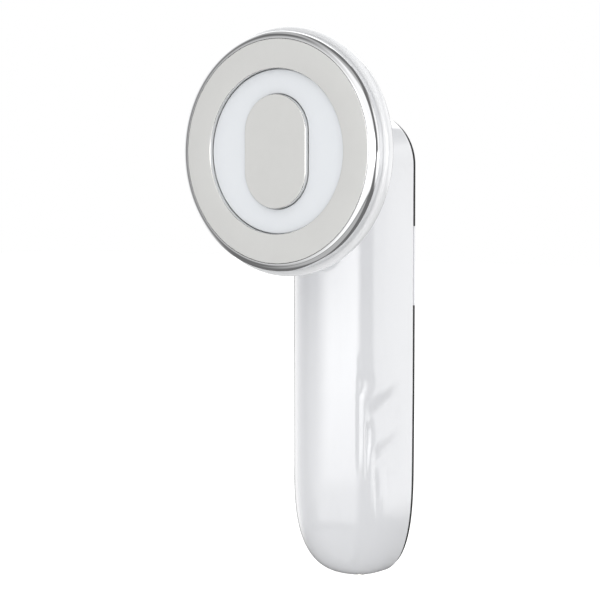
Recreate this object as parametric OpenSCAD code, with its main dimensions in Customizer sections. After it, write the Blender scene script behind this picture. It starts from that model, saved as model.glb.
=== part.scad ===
// Hand-held facial toning device: a round treatment head on a D-shaped handle.
// Millimetres. +Z runs up the handle to the head and the treatment face looks along -Y.
// The origin lies on the grip axis, in the middle of the finger dents.

/* [Handle] */
// Width of the handle across the fingers
handle_w = 30; // [28:0.5:34]
// Depth of the handle shell, from the finger side to the back rim
handle_d = 27.7; // [27:0.1:31]
// Squareness of the D-shaped section, where 2 is an ellipse
section_power = 3.7; // [3.2:0.05:4]
// Distance from the grip axis back to the rim
axis_to_rim = 12.5; // [11:0.25:14]
// Height of the centre of the rounded top above the origin
top_z = 71.5; // [70:0.5:80]
// Drop from the origin to the bottom end of the handle
bottom_drop = 46; // [45.5:0.5:52]
// Height over which the two sides round in to the bottom end
tail_len = 30; // [26:0.5:31]
// Roundness of the sides there, where 2 is an ellipse
tail_power = 2.55; // [2.4:0.05:3]
// Height over which the finger side rounds in to the bottom end
heel_len = 33; // [29:0.5:34]
// Roundness of the finger side there, where 2 is an ellipse
heel_power = 3; // [2.6:0.05:3.4]
// Wall of the front shell
wall = 2; // [1.6:0.1:2.2]

/* [Finger dents] */
// Depth of each finger dent
dent_depth = 0.9; // [0:0.1:1.1]
// Distance between two finger dents
dent_pitch = 15.5; // [12:0.5:17]
// Half height of one finger dent
dent_half = 6.5; // [4:0.5:8]

/* [Back] */
// Thickness of the white rear frame
frame_t = 1.8; // [1.6:0.1:2.2]
// Thickness of the glossy back panels
panel_t = 0.9; // [0.7:0.1:1.2]
// How far the panels stop short of the handle's side
panel_inset = 0.3; // [0.2:0.05:0.6]
// Height of the white control band between the panels
band_h = 22.4; // [22:0.2:26]
// How far the control band lies below the panels
band_sink = 0.1; // [0.05:0.05:0.3]
// Radius of the button caps
cap_r = 4.2; // [3.6:0.1:4.3]
// Travel of the buttons
travel = 0.4; // [0.2:0.05:0.4]

/* [Head] */
// Distance from the handle's finger side forward to the treatment face
standoff = 18.6; // [17.5:0.1:24]
// Height of the head's centre above the centre of the rounded top
head_rise = 3.5; // [2:0.25:4]
// Outer radius of the ring electrode
face_r = 30; // [29:0.25:34]
// Radius of the window inside the ring electrode
window_r = 22; // [21.5:0.1:22.2]
// Width of the oval electrode
oval_w = 20.3; // [18:0.1:21]
// Height of the oval electrode
oval_h = 30.6; // [28:0.1:31]
// Depth of the light ring below the electrodes
light_sink = 1.2; // [0.9:0.1:1.4]
// Radial width of the chrome bezel
bezel_w = 2; // [1.6:0.1:2.4]
// Length of the chrome bezel's visible side
bezel_len = 4.2; // [4.2:0.1:5]
// How far the white collar stands out past the bezel
collar_step = 1.45; // [1:0.05:2]
// Depth of the whole head, from the treatment face to its back
head_depth = 12.3; // [12.1:0.1:14]
// Outer radius of the neck
neck_r = 10.75; // [10.5:0.25:11.5]
// Wall of the neck tube
neck_wall = 1.75; // [1.6:0.05:2]
// How far the neck widens where it runs into the handle
neck_flare = 2.2; // [1.5:0.1:2.6]
// Number of lamps round the light ring
lamp_count = 12; // [6:1:18]

/* [Cell and motor] */
// Diameter of the rechargeable cell
cell_d = 18.3; // [14:0.1:18.4]
// Length of the rechargeable cell
cell_len = 50; // [44:0.5:51]
// Diameter of the vibration motor
motor_d = 12; // [10:0.5:12.5]
// Length of the vibration motor's can
motor_len = 18; // [14:0.5:19]
// Radius of the eccentric weight
weight_r = 5; // [3.5:0.25:5.5]
// Height of the eccentric weight
weight_h = 5; // [3:0.5:5.5]

/* [Charging port] */
// Width of the charging receptacle
port_w = 8.94; // [8:0.02:9.2]
// Height of the charging receptacle's opening side
port_h = 3.26; // [3:0.02:3.4]
// Length of the charging receptacle
port_len = 6.8; // [6.5:0.1:7]

/* [Hidden] */

$fn = 72;
cut = 0.5;          // overrun of a cut past the face it opens
fit = 0.15;         // gap between moulded pieces that drop into each other
hair = 0.05;        // running or sliding clearance
seat_gap = 0.3;     // air left beside a part that only lies near another

// Faces along Y, from the back forward
rim_y = axis_to_rim;
finger_y = rim_y - handle_d;
panel_y = rim_y + panel_t;
band_y = panel_y - band_sink;
frame_y = rim_y - frame_t;
face_y = finger_y - standoff;
head_back_y = face_y + head_depth;

// Half widths and heights of the handle
half_w = handle_w / 2;
tail_end_z = -bottom_drop;
tail_z = tail_end_z + tail_len;
heel_z = tail_end_z + heel_len;
head_z = top_z + head_rise;
frame_w = half_w - wall - fit;
panel_w = half_w - panel_inset;

// Shell surface grid
ring_steps = 12;    // steps from the rim to the middle of the finger side
tail_steps = 10;    // slices in the rounded bottom
tail_bias = 0.8;    // packs those slices toward the bottom end
dome_steps = 8;     // slices in the rounded top
body_step = 2.5;    // greatest height of one slice in the straight part
edge_bias = 1.6;    // packs the steps toward the rim
dent_turn = 24;     // where the dents are deepest, in degrees of the section's own angle
dent_spread = 15;   // half width of the dents, in the same degrees

// Screws
screw_r = 1;        // shank of the frame, neck and carrier screws
screw_head_r = 1.6; // their heads
screw_head_h = 1;
post_r = 2.4;       // posts that take the frame screws
pilot_r = screw_r + hair;
hole_r = screw_r + 0.1;

// Cell and its cradle
cell_low_z = -26;
cell_top_z = cell_low_z + cell_len;
cradle_web = 2.95;
cradle_wall = 1.25;
cradle_end = 1.4;
tab_t = 0.2;
cell_y = frame_y - cradle_web - hair - cell_d / 2;
channel_in = 2.4;   // nearest and farthest sides of the two channels behind the cradle
channel_out = 6.2;
channel_d = 0.8;
strip_gap = 0.5;    // air at each side of a strip in its channel
strip_in = channel_in + strip_gap;
strip_out = channel_out - strip_gap;

// Frame posts
side_post_z = cell_top_z + cradle_end + post_r + 0.2;
side_post_x = half_w - wall - post_r - 0.8;
low_post_z = cell_low_z - cradle_end - post_r - 1.2;
top_post_z = top_z + half_w - wall - post_r - 0.1;

// Main board, lying in front of the rear frame
board_low_z = side_post_z + post_r + 1.6;
board_top_z = top_z + 5;
board_w = min(10.5, half_w - wall - 2.4);
board_t = 1.2;
board_gap = 3.3;
board_back_y = frame_y - board_gap;
board_y = board_back_y - board_t;
boss_r = 1.8;
boss_x = board_w - boss_r - 0.1;
boss_low_z = board_low_z + 4;
boss_high_z = top_z - 1.5;
small_r = 0.8;      // shank of the board screws
small_head_r = 1.5;

// Control band and buttons
band_low_z = board_low_z - 0.1;
band_top_z = band_low_z + band_h;
panel_seam = 0.06;  // seam between the band and each panel
key_pitch = band_h / 2 - 0.2;
key_z = [(band_low_z + band_top_z - key_pitch) / 2, (band_low_z + band_top_z + key_pitch) / 2];
flange_r = cap_r + 0.7;
recess_r = flange_r + 0.3;
skirt_t = 0.8;      // band left in front of the key flange
flange_t = 0.7;
flange_back_y = band_y - skirt_t - hair;
cap_y = band_y - 0.25;
stem_r = 2;
gasket_t = 0.6;
gasket_w = 5.8;
switch_w = 5.2;
switch_h = 1.5;
plunger_r = 1.5;
plunger_y = board_back_y + switch_h + 0.6;
plunger_foot_y = board_back_y + switch_h - 0.5;

// Level window above the band
window_z = band_top_z + 7.8;
window_len = 9;
window_w = 1.8;
lamp_gap = 3;
level_lamp_h = 0.7;

// Motor, standing in front of the main board
motor_low_z = board_low_z + 1;
motor_y = board_y - 3.2 - motor_d / 2;
can_wall = 0.6;
can_end = 1;
shaft_r = 0.75;
magnet_t = 0.8;
armature_r = motor_d / 2 - can_wall - magnet_t - 0.3;
weight_low_z = motor_low_z + motor_len + 0.8;
weight_top_z = weight_low_z + weight_h;
bracket_low_z = motor_low_z + 1;
bracket_len = motor_len - 2;
lead_r = 0.3;
lead_x = 1.6;

// Head stack, as depths behind the treatment face
seam = 0.05;
plate_t = 0.9;
skirt_w = 0.8;
flange_d = 0.5;     // flange of the light ring
carrier_p = 2.9;    // front of the electrode carrier
carrier_t = 1.4;
lamp_h = 0.8;
lamp_p = carrier_p + carrier_t + 0.1;
lamp_board_p = lamp_p + lamp_h;
lamp_board_t = 1;
lamp_board_back_p = lamp_board_p + lamp_board_t;
ring_in_r = window_r + seam;
light_r = window_r - 0.1;
flange_out_r = ring_in_r + 1.35;
bezel_bore_r = face_r + seam;
bezel_r = bezel_bore_r + bezel_w;
bezel_edge_p = 0.1; // the bezel's front edge lies just behind the face
bezel_round = 1.6;
bezel_skirt_w = 0.9;
bezel_skirt_len = 1.6;
carrier_r = face_r - 0.4;
housing_bore_r = bezel_bore_r + bezel_skirt_w + hair;
collar_r = bezel_r + collar_step;
collar_back_r = collar_r - 2.5;
collar_back_p = head_depth - 4;
back_flat_r = head_rise + neck_r + 0.95;
floor_t = 2;
slope = (head_depth - collar_back_p) / (collar_back_r - back_flat_r);
lamp_ring_r = (oval_h / 2 + light_r) / 2;
lamp_w = 2;
lamp_window_r = 1.6;
pin_r = 0.7;
pin_tip_r = 0.45;
ring_pin_r = flange_out_r + pin_r + seat_gap;
oval_pin_r = 11;
pin_collar_p = carrier_p + 0.3;
lamp_board_r = ring_pin_r + pin_r + 0.1;
lamp_board_hole_r = 8;
head_post_r = 1.7;
head_post_ring = lamp_board_r + seat_gap + head_post_r;
peg_post_r = 1.5;
peg_r = 0.8;
peg_ring = lamp_board_r - 2.6;

// Neck
neck_bore_r = neck_r - neck_wall;
neck_boss_r = 2.2;
neck_ring = neck_bore_r - neck_boss_r + 0.4;
neck_boss_len = 8.5;
neck_straight = 2;  // stretch of the neck at the head that doesn't widen
seal_r = 0.4;
seal_ring = neck_bore_r + neck_wall / 2 + 0.08;
cable_hole_r = 3.4;
flex_t = 0.2;
flex_w = 6;

// Charging port
port_mouth_z = tail_end_z + 0.8;
port_top_z = port_mouth_z + port_len;
port_y = rim_y - 9.5;
port_wall = 0.3;
port_board_low_z = tail_end_z + 5.5;
port_board_top_z = low_post_z - post_r - 0.5;
port_board_w = 5.4;
port_board_y = port_y + port_h / 2;
port_board_t = 1;
port_board_back_y = port_board_y + port_board_t;
carrier_block_top_z = port_board_low_z + 3.5;
rail_w = 0.7;

// Share left of a half width or a depth at height z, where it rounds in over a length
function round_in(z, start_z, len, power) =
    let (t = min(1, max(0, (start_z - z) / len)))
    pow(1 - pow(t, power), 1 / power);
function dome_depth_share(turn) = pow(cos(turn), 2 / section_power);

// Depth behind the rim of a D section at a sideways distance x
function depth_at(w, d, x) = d * pow(1 - pow(x / w, 2), 1 / section_power);

// Slices of the shell from the bottom tip to the top tip: height, half width, depth.
// The straight part is cut at the same heights for the outer and the inner surface.
function shell_slices(w, d, inset) =
    let (
        round_z = max(tail_z, heel_z),
        round_len = round_z - tail_end_z - inset,
        body_steps = ceil((top_z - round_z) / body_step)
    )
    concat(
        [for (i = [tail_steps - 1:-1:1])
            let (z = round_z - round_len * pow(sin(90 * i / tail_steps), tail_bias))
            [
                z,
                w * round_in(z, tail_z, tail_len - inset, tail_power),
                d * round_in(z, heel_z, heel_len - inset, heel_power)
            ]],
        [for (i = [0:body_steps])
            let (z = round_z + (top_z - round_z) * i / body_steps)
            [z, w * round_in(z, tail_z, tail_len - inset, tail_power), d]],
        [for (i = [1:dome_steps - 1])
            let (turn = 90 * i / dome_steps)
            [top_z + w * sin(turn), w * cos(turn), d * dome_depth_share(turn)]]
    );

// Section angle of step i, from one side of the rim over the finger side to the other
function section_angle(i) =
    i <= ring_steps
        ? 90 * pow(i / ring_steps, edge_bias)
        : 180 - section_angle(2 * ring_steps - i);

// Three dents on each side, each a soft hollow in height and round the section
function dent(turn, z) =
    let (side = turn > 90 ? 180 - turn : turn)
    dent_depth * exp(-pow((side - dent_turn) / dent_spread, 2))
        * (exp(-pow(z / dent_half, 2))
            + exp(-pow((z - dent_pitch) / dent_half, 2))
            + exp(-pow((z + dent_pitch) / dent_half, 2)));

// Points of one surface: all slices, then the bottom tip and the top tip
function shell_points(w, d, inset, dented) =
    concat(
        [for (slice = shell_slices(w, d, inset))
            for (i = [0:2 * ring_steps])
                let (turn = section_angle(i), pull = dented ? dent(turn, slice[0]) : 0)
                [
                    (slice[1] - pull) * cos(turn),
                    rim_y - (slice[2] - pull) * pow(sin(turn), 2 / section_power),
                    slice[0]
                ]],
        [[0, rim_y, tail_end_z + inset], [0, rim_y, top_z + w]]
    );

// Two triangles for each square of the grid, wound one way or the other
function grid_faces(rows, cols, base, flip) =
    [for (j = [0:rows - 2])
        for (i = [0:cols - 2])
            let (a = base + j * cols + i, b = a + 1, c = a + cols + 1, e = a + cols)
            for (f = flip ? [[a, c, b], [a, e, c]] : [[a, b, c], [a, c, e]])
                f];

// Triangles from the end rows to the two tips
function tip_faces(rows, cols, base, flip) =
    let (low = base + rows * cols, high = low + 1, last = base + (rows - 1) * cols)
    concat(
        [for (i = [0:cols - 2])
            flip ? [low, base + i, base + i + 1] : [low, base + i + 1, base + i]],
        [for (i = [0:cols - 2])
            flip ? [high, last + i + 1, last + i] : [high, last + i, last + i + 1]]
    );

// The flat rim between the outer and the inner surface
function rim_faces(rows, cols, inner) =
    let (
        right = concat([rows * cols], [for (j = [0:rows - 1]) j * cols], [rows * cols + 1]),
        left = concat([rows * cols], [for (j = [0:rows - 1]) j * cols + cols - 1], [rows * cols + 1])
    )
    concat(
        [for (j = [0:rows])
            for (f = [[right[j], right[j + 1], right[j + 1] + inner],
                      [right[j], right[j + 1] + inner, right[j] + inner]])
                f],
        [for (j = [0:rows])
            for (f = [[left[j], left[j + 1] + inner, left[j + 1]],
                      [left[j], left[j] + inner, left[j + 1] + inner]])
                f]
    );

// Outline of a back plate: rounded bottom, straight sides, round top
function tail_side(w, inset) =
    [for (turn = [90:-7.5:0])
        let (z = tail_z - (tail_len - inset) * pow(sin(turn), tail_bias))
        [w * round_in(z, tail_z, tail_len - inset, tail_power), z]];
function top_side(w) =
    [for (turn = [0:6:90]) [w * cos(turn), top_z + w * sin(turn)]];
function both_sides(half) =
    concat(half, [for (i = [len(half) - 1:-1:0]) [-half[i][0], half[i][1]]]);

// Inner surface of the housing floor and outer surface of its back at a radius, as depths
function back_p(r) = head_depth - slope * max(0, r - back_flat_r);
function floor_p(r) = back_p(r) - floor_t;

// A flat shape in X and Z, from y0 back to y1
module slab(y0, y1) {
    translate([0, y1, 0])
        rotate([90, 0, 0])
            linear_extrude(y1 - y0)
                children();
}

// A round bar along Y at x, z
module bar(x, z, y0, y1, r) {
    translate([x, y0, z])
        rotate([-90, 0, 0])
            cylinder(h = y1 - y0, r = r);
}

// A box given by its two corners
module box(low, high) {
    translate(low)
        cube(high - low);
}

// A strip bent in Y and Z, from x0 to x1
module strip(x0, x1) {
    translate([x0, 0, 0])
        rotate([90, 0, 90])
            linear_extrude(x1 - x0)
                children();
}

// Places what it holds at a depth behind the treatment face, looking back along +Y
module in_head(p = 0) {
    translate([0, face_y + p, head_z])
        rotate([-90, 0, 0])
            children();
}

// Places what it holds on the neck's axis at the back of the head, looking back along +Y
module in_neck() {
    translate([0, head_back_y, top_z])
        rotate([-90, 0, 0])
            children();
}

module around(count, r, start = 0) {
    for (i = [0:count - 1])
        rotate([0, 0, start + 360 * i / count])
            translate([r, 0, 0])
                children();
}

// An upright oval prism: two round ends and straight sides
module oval(w, h, t) {
    for (side = [-1, 1])
        translate([0, side * (h - w) / 2, 0])
            cylinder(h = t, r = w / 2);
    translate([-w / 2, -(h - w) / 2, 0])
        cube([w, h - w, t]);
}

// A screw with its head on y0 and its shank running back (way 1) or forward (way -1)
module screw(y0, way, len, r, head_r) {
    translate([0, y0, 0])
        rotate([-90 * way, 0, 0]) {
            cylinder(h = len, r = r);
            translate([0, 0, -screw_head_h])
                cylinder(h = screw_head_h, r = head_r);
        }
}

// --- Handle ---

module shell_skin() {
    rows = len(shell_slices(half_w, handle_d, 0));
    cols = 2 * ring_steps + 1;
    inner = rows * cols + 2;
    polyhedron(
        points = concat(
            shell_points(half_w, handle_d, 0, true),
            shell_points(half_w - wall, handle_d - wall, wall, false)
        ),
        faces = concat(
            grid_faces(rows, cols, 0, false),
            tip_faces(rows, cols, 0, false),
            grid_faces(rows, cols, inner, true),
            tip_faces(rows, cols, inner, true),
            rim_faces(rows, cols, inner)
        )
    );
}

// Post for a frame screw, rooted in the wall of a section at its farthest side
module frame_post(x, z, w, d, reach) {
    bar(x, z, rim_y - depth_at(w, d, reach) + wall / 2, frame_y, post_r);
}

module frame_posts() {
    low_z = low_post_z - post_r;
    low_w = half_w * round_in(low_z, tail_z, tail_len, tail_power);
    low_d = handle_d * round_in(low_z, heel_z, heel_len, heel_power);
    for (side = [-1, 1])
        frame_post(side * side_post_x, side_post_z, half_w, handle_d, side_post_x + post_r);
    frame_post(0, top_post_z, half_w, handle_d, top_post_z - top_z + post_r);
    frame_post(0, low_post_z, low_w, low_d, post_r);
}

module at_frame_screws() {
    for (side = [-1, 1])
        translate([side * side_post_x, 0, side_post_z])
            children();
    translate([0, 0, top_post_z])
        children();
    translate([0, 0, low_post_z])
        children();
}

module at_board_screws() {
    for (side = [-1, 1], z = [boss_low_z, boss_high_z])
        translate([side * boss_x, 0, z])
            children();
}

module at_neck_screws() {
    in_neck()
        around(3, neck_ring, 30)
            children();
}

// Neck outside: straight at the head, then widening in a curve until it is inside the wall
module neck_outside(foot_y) {
    translate([0, 0, top_z])
        rotate([-90, 0, 0])
            rotate_extrude()
                polygon(concat(
                    [[0, head_back_y]],
                    [for (turn = [0:10:90])
                        [neck_r + neck_flare * (1 - cos(turn)),
                         head_back_y + neck_straight
                            + (foot_y - head_back_y - neck_straight) * sin(turn)]],
                    [[0, foot_y]]
                ));
}

module front_shell() {
    foot_y = rim_y - depth_at(half_w, handle_d, neck_r + neck_flare) + wall / 3;
    bore_end_y = rim_y - depth_at(half_w, handle_d, neck_bore_r) + wall + 1;
    color("white")
        difference() {
            union() {
                difference() {
                    union() {
                        shell_skin();
                        intersection() {
                            neck_outside(foot_y);
                            bar(0, top_z, head_back_y - cut, bore_end_y, neck_r + neck_flare + cut);
                        }
                    }
                    bar(0, top_z, head_back_y - cut, bore_end_y + cut, neck_bore_r);
                }
                frame_posts();
                at_neck_screws()
                    cylinder(h = neck_boss_len, r = neck_boss_r);
            }
            at_frame_screws()
                bar(0, 0, frame_y - 6, frame_y + cut, pilot_r);
            at_neck_screws()
                translate([0, 0, -cut])
                    cylinder(h = 6 + cut, r = pilot_r);
            in_neck()
                difference() {
                    translate([0, 0, -cut])
                        cylinder(h = 2 * seal_r + cut, r = seal_ring + seal_r + hair);
                    translate([0, 0, -2 * cut])
                        cylinder(h = 2 * seal_r + 3 * cut, r = seal_ring - seal_r - hair);
                }
            translate([0, port_y, tail_end_z - cut])
                rotate([0, 0, 90])
                    oval(port_h + 2 * fit, port_w + 2 * fit, port_top_z - tail_end_z + 2 * cut);
        }
}

module rear_frame() {
    screw_seat_y = rim_y - screw_head_h;
    color("white")
        difference() {
            union() {
                slab(frame_y, rim_y)
                    polygon(both_sides(concat(tail_side(frame_w, wall + fit), top_side(frame_w))));
                box([-panel_w, rim_y, band_low_z], [panel_w, band_y, band_top_z]);
                at_board_screws()
                    bar(0, 0, board_back_y, frame_y + cut, boss_r);
            }
            for (z = key_z) {
                bar(0, z, frame_y - cut, band_y + cut, cap_r + fit);
                bar(0, z, frame_y - cut, band_y - skirt_t, recess_r);
            }
            box([-window_w / 2 - fit, frame_y - cut, window_z - window_len / 2 - fit],
                [window_w / 2 + fit, rim_y + cut, window_z + window_len / 2 + fit]);
            at_board_screws()
                bar(0, 0, board_back_y - cut, rim_y - 0.6, small_r + hair);
            at_frame_screws() {
                bar(0, 0, frame_y - cut, rim_y + cut, hole_r);
                bar(0, 0, screw_seat_y, rim_y + cut, screw_head_r + fit);
            }
        }
}

module upper_panel() {
    low_z = band_top_z + panel_seam;
    color([0.05, 0.05, 0.06])
        difference() {
            slab(rim_y, panel_y)
                polygon(both_sides(concat([[panel_w, low_z]], top_side(panel_w))));
            box([-window_w / 2 - fit, rim_y - cut, window_z - window_len / 2 - fit],
                [window_w / 2 + fit, panel_y + cut, window_z + window_len / 2 + fit]);
        }
}

module lower_panel() {
    high_z = band_low_z - panel_seam;
    color([0.05, 0.05, 0.06])
        slab(rim_y, panel_y)
            polygon(both_sides(concat(tail_side(panel_w, panel_inset), [[panel_w, high_z]])));
}

module key(z) {
    stem_y = plunger_y + travel / 8;
    color("white") {
        bar(0, z, flange_back_y - flange_t / 2, cap_y, cap_r);
        bar(0, z, flange_back_y - flange_t, flange_back_y, flange_r);
        bar(0, z, stem_y, flange_back_y - flange_t / 2, stem_r);
    }
}

module power_button() key(key_z[1]);

module level_button() key(key_z[0]);

module key_gasket() {
    color("lightgray")
        difference() {
            box([-gasket_w, frame_y - gasket_t, key_z[0] - recess_r],
                [gasket_w, frame_y, key_z[1] + recess_r]);
            for (z = key_z)
                bar(0, z, frame_y - gasket_t - cut, frame_y + cut, stem_r + fit);
        }
}

module level_window() {
    lens_y = panel_y - hair;
    color("whitesmoke") {
        box([-window_w / 2, frame_y - gasket_t / 2, window_z - window_len / 2],
            [window_w / 2, lens_y, window_z + window_len / 2]);
        box([-window_w, frame_y - gasket_t, window_z - window_len / 2 - 1],
            [window_w, frame_y, window_z + window_len / 2 + 1]);
    }
}

module frame_screws() {
    color("silver")
        at_frame_screws()
            screw(rim_y - screw_head_h, -1, 6, screw_r, screw_head_r);
}

// --- Head ---

module chrome_bezel() {
    crest = [for (turn = [0:15:90])
        [bezel_bore_r + bezel_w * sin(turn), bezel_edge_p + bezel_round * (1 - cos(turn))]];
    color("silver")
        in_head()
            rotate_extrude()
                polygon(concat(crest, [
                    [bezel_r, bezel_len],
                    [bezel_bore_r + bezel_skirt_w, bezel_len],
                    [bezel_bore_r + bezel_skirt_w, bezel_len + bezel_skirt_len],
                    [bezel_bore_r, bezel_len + bezel_skirt_len]
                ]));
}

module ring_electrode() {
    edge = 0.25;
    color("darkgray")
        in_head()
            rotate_extrude()
                polygon([
                    [ring_in_r, edge],
                    [ring_in_r + edge, 0],
                    [face_r - edge, 0],
                    [face_r, edge],
                    [face_r, carrier_p],
                    [face_r - skirt_w, carrier_p],
                    [face_r - skirt_w, plate_t],
                    [ring_in_r + skirt_w, plate_t],
                    [ring_in_r + skirt_w, carrier_p - flange_d],
                    [ring_in_r, carrier_p - flange_d]
                ]);
}

module oval_electrode() {
    color("darkgray")
        in_head()
            difference() {
                oval(oval_w, oval_h, carrier_p);
                translate([0, 0, plate_t])
                    oval(oval_w - 2 * skirt_w, oval_h - 2 * skirt_w, carrier_p);
            }
}

module light_ring() {
    color([0.93, 0.95, 1])
        in_head()
            difference() {
                union() {
                    translate([0, 0, light_sink])
                        cylinder(h = carrier_p - light_sink, r = light_r);
                    translate([0, 0, carrier_p - flange_d])
                        cylinder(h = flange_d, r = flange_out_r);
                }
                oval(oval_w + 2 * fit, oval_h + 2 * fit, carrier_p + cut);
            }
}

module electrode_carrier() {
    color("gainsboro")
        in_head(carrier_p)
            difference() {
                cylinder(h = carrier_t, r = carrier_r);
                translate([0, 0, -cut]) {
                    around(lamp_count, lamp_ring_r)
                        cylinder(h = carrier_t + 2 * cut, r = lamp_window_r);
                    around(2, ring_pin_r, 45)
                        cylinder(h = carrier_t + 2 * cut, r = pin_r + fit);
                    around(2, oval_pin_r, 90)
                        cylinder(h = carrier_t + 2 * cut, r = pin_r + fit);
                    around(3, head_post_ring, 90)
                        cylinder(h = carrier_t + 2 * cut, r = hole_r);
                }
            }
}

module carrier_screws() {
    color("silver")
        in_head(carrier_p)
            around(3, head_post_ring, 90) {
                cylinder(h = 4.3, r = screw_r);
                translate([0, 0, -screw_head_h])
                    cylinder(h = screw_head_h, r = screw_head_r);
            }
}

module contact_pin() {
    translate([0, 0, pin_collar_p])
        cylinder(h = lamp_board_p - pin_collar_p, r = pin_r);
    translate([0, 0, plate_t])
        cylinder(h = pin_collar_p - plate_t + seam, r = pin_tip_r);
}

module contact_pins() {
    color("gold")
        in_head() {
            around(2, ring_pin_r, 45)
                contact_pin();
            around(2, oval_pin_r, 90)
                contact_pin();
        }
}

module lamp_board() {
    color("darkgreen")
        in_head(lamp_board_p)
            difference() {
                cylinder(h = lamp_board_t, r = lamp_board_r);
                translate([0, 0, -cut]) {
                    cylinder(h = lamp_board_t + 2 * cut, r = lamp_board_hole_r);
                    around(3, peg_ring, 75)
                        cylinder(h = lamp_board_t + 2 * cut, r = peg_r + 0.1);
                }
            }
}

module lamps() {
    color("ivory")
        in_head(lamp_p)
            around(lamp_count, lamp_ring_r)
                translate([-lamp_w / 2, -lamp_w / 2, 0])
                    cube([lamp_w, lamp_w, lamp_h]);
}

module head_housing() {
    color("white")
        difference() {
            in_head()
                difference() {
                    union() {
                        difference() {
                            rotate_extrude()
                                polygon([
                                    [0, bezel_len],
                                    [bezel_r + fit, bezel_len],
                                    [collar_r - 0.35, bezel_len + 0.4],
                                    [collar_r, bezel_len + 1.2],
                                    [collar_r - 0.15, bezel_len + 2.2],
                                    [collar_r - 0.9, bezel_len + 3.2],
                                    [collar_back_r, collar_back_p],
                                    [back_flat_r, head_depth],
                                    [0, head_depth]
                                ]);
                            rotate_extrude()
                                polygon([
                                    [0, bezel_len - cut],
                                    [housing_bore_r, bezel_len - cut],
                                    [housing_bore_r, floor_p(housing_bore_r)],
                                    [back_flat_r, head_depth - floor_t],
                                    [0, head_depth - floor_t]
                                ]);
                        }
                        around(3, head_post_ring, 90)
                            translate([0, 0, carrier_p + carrier_t])
                                cylinder(
                                    h = floor_p(head_post_ring + head_post_r) + floor_t / 2
                                        - carrier_p - carrier_t,
                                    r = head_post_r
                                );
                        around(3, peg_ring, 75) {
                            translate([0, 0, lamp_board_back_p])
                                cylinder(
                                    h = floor_p(peg_ring) + floor_t / 2 - lamp_board_back_p,
                                    r = peg_post_r
                                );
                            translate([0, 0, lamp_board_p - seat_gap])
                                cylinder(h = lamp_board_t + 2 * seat_gap, r = peg_r);
                        }
                    }
                    around(3, head_post_ring, 90)
                        translate([0, 0, carrier_p])
                            cylinder(h = 4.5, r = pilot_r);
                }
            in_neck()
                translate([0, 0, -floor_t - cut]) {
                    cylinder(h = floor_t + 2 * cut, r = cable_hole_r);
                    around(3, neck_ring, 30)
                        cylinder(h = floor_t + 2 * cut, r = hole_r);
                }
        }
}

module neck_seal() {
    color("dimgray")
        in_neck()
            rotate_extrude()
                translate([seal_ring, seal_r])
                    circle(r = seal_r, $fn = 24);
}

module neck_screws() {
    color("silver")
        at_neck_screws()
            translate([0, 0, -floor_t]) {
                cylinder(h = floor_t + 5.5, r = screw_r);
                translate([0, 0, -screw_head_h])
                    cylinder(h = screw_head_h, r = screw_head_r);
            }
}

// Flat cable from the main board through the neck to the back of the lamp board
module head_flex() {
    lamp_end_y = face_y + lamp_board_back_p;
    pad_low_z = top_z - 7.4;
    color("chocolate")
        strip(-flex_w / 2, flex_w / 2)
            polygon([
                [board_y, pad_low_z],
                [board_y, top_z + flex_t / 2],
                [lamp_end_y, top_z + flex_t / 2],
                [lamp_end_y, top_z - lamp_board_hole_r - 4],
                [lamp_end_y + flex_t, top_z - lamp_board_hole_r - 4],
                [lamp_end_y + flex_t, top_z - flex_t / 2],
                [board_y - flex_t, top_z - flex_t / 2],
                [board_y - flex_t, pad_low_z]
            ]);
}

// --- Electronics in the handle ---

module main_board() {
    color("darkgreen")
        difference() {
            box([-board_w, board_y, board_low_z], [board_w, board_back_y, board_top_z]);
            at_board_screws()
                bar(0, 0, board_y - cut, board_back_y + cut, small_r + 0.1);
        }
}

module board_screws() {
    color("silver")
        at_board_screws()
            screw(board_y, 1, board_t + 2.5, small_r, small_head_r);
}

// Processor beside the pulse transformer, on the front of the main board
module control_chips() {
    chip_z = weight_top_z - 5.5;
    color([0.15, 0.15, 0.17]) {
        box([-8, board_y - 1, chip_z], [-1, board_y, chip_z + 7]);
        box([1.5, board_y - 2.4, chip_z + 0.5], [7.5, board_y, chip_z + 6.5]);
    }
}

module level_lamps() {
    color("ivory")
        for (i = [-1:1])
            box([-0.4, board_back_y, window_z + i * lamp_gap - 0.8],
                [0.4, board_back_y + level_lamp_h, window_z + i * lamp_gap + 0.8]);
}

module switch_bodies() {
    color([0.2, 0.2, 0.22])
        for (z = key_z)
            difference() {
                box([-switch_w / 2, board_back_y, z - switch_w / 2],
                    [switch_w / 2, board_back_y + switch_h, z + switch_w / 2]);
                bar(0, z, plunger_foot_y - travel - 0.1, board_back_y + switch_h + cut,
                    plunger_r + hair);
            }
}

module plunger(z) {
    color("black")
        bar(0, z, plunger_foot_y, plunger_y, plunger_r);
}

module power_plunger() plunger(key_z[1]);

module level_plunger() plunger(key_z[0]);

module battery() {
    color("mediumseagreen")
        translate([0, cell_y, cell_low_z])
            cylinder(h = cell_len, r = cell_d / 2);
}

module battery_cradle() {
    half = cell_d / 2 + cradle_wall;
    color("gainsboro")
        difference() {
            box([-half, cell_y + 1.5, cell_low_z - cradle_end],
                [half, frame_y, cell_top_z + cradle_end]);
            translate([0, cell_y, cell_low_z - seat_gap])
                cylinder(h = cell_len + 2 * seat_gap, r = cell_d / 2 + hair);
            for (side = [0, 1])
                mirror([side, 0, 0])
                    box([channel_in, frame_y - channel_d, cell_low_z - cradle_end - cut],
                        [channel_out, frame_y + cut, cell_top_z + cradle_end + cut]);
            box([channel_in, cell_y, cell_top_z],
                [channel_out, board_y + seat_gap, cell_top_z + cradle_end + cut]);
            box([channel_in, cell_y, cell_low_z - cradle_end - cut],
                [channel_out, frame_y, cell_low_z]);
        }
}

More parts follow.
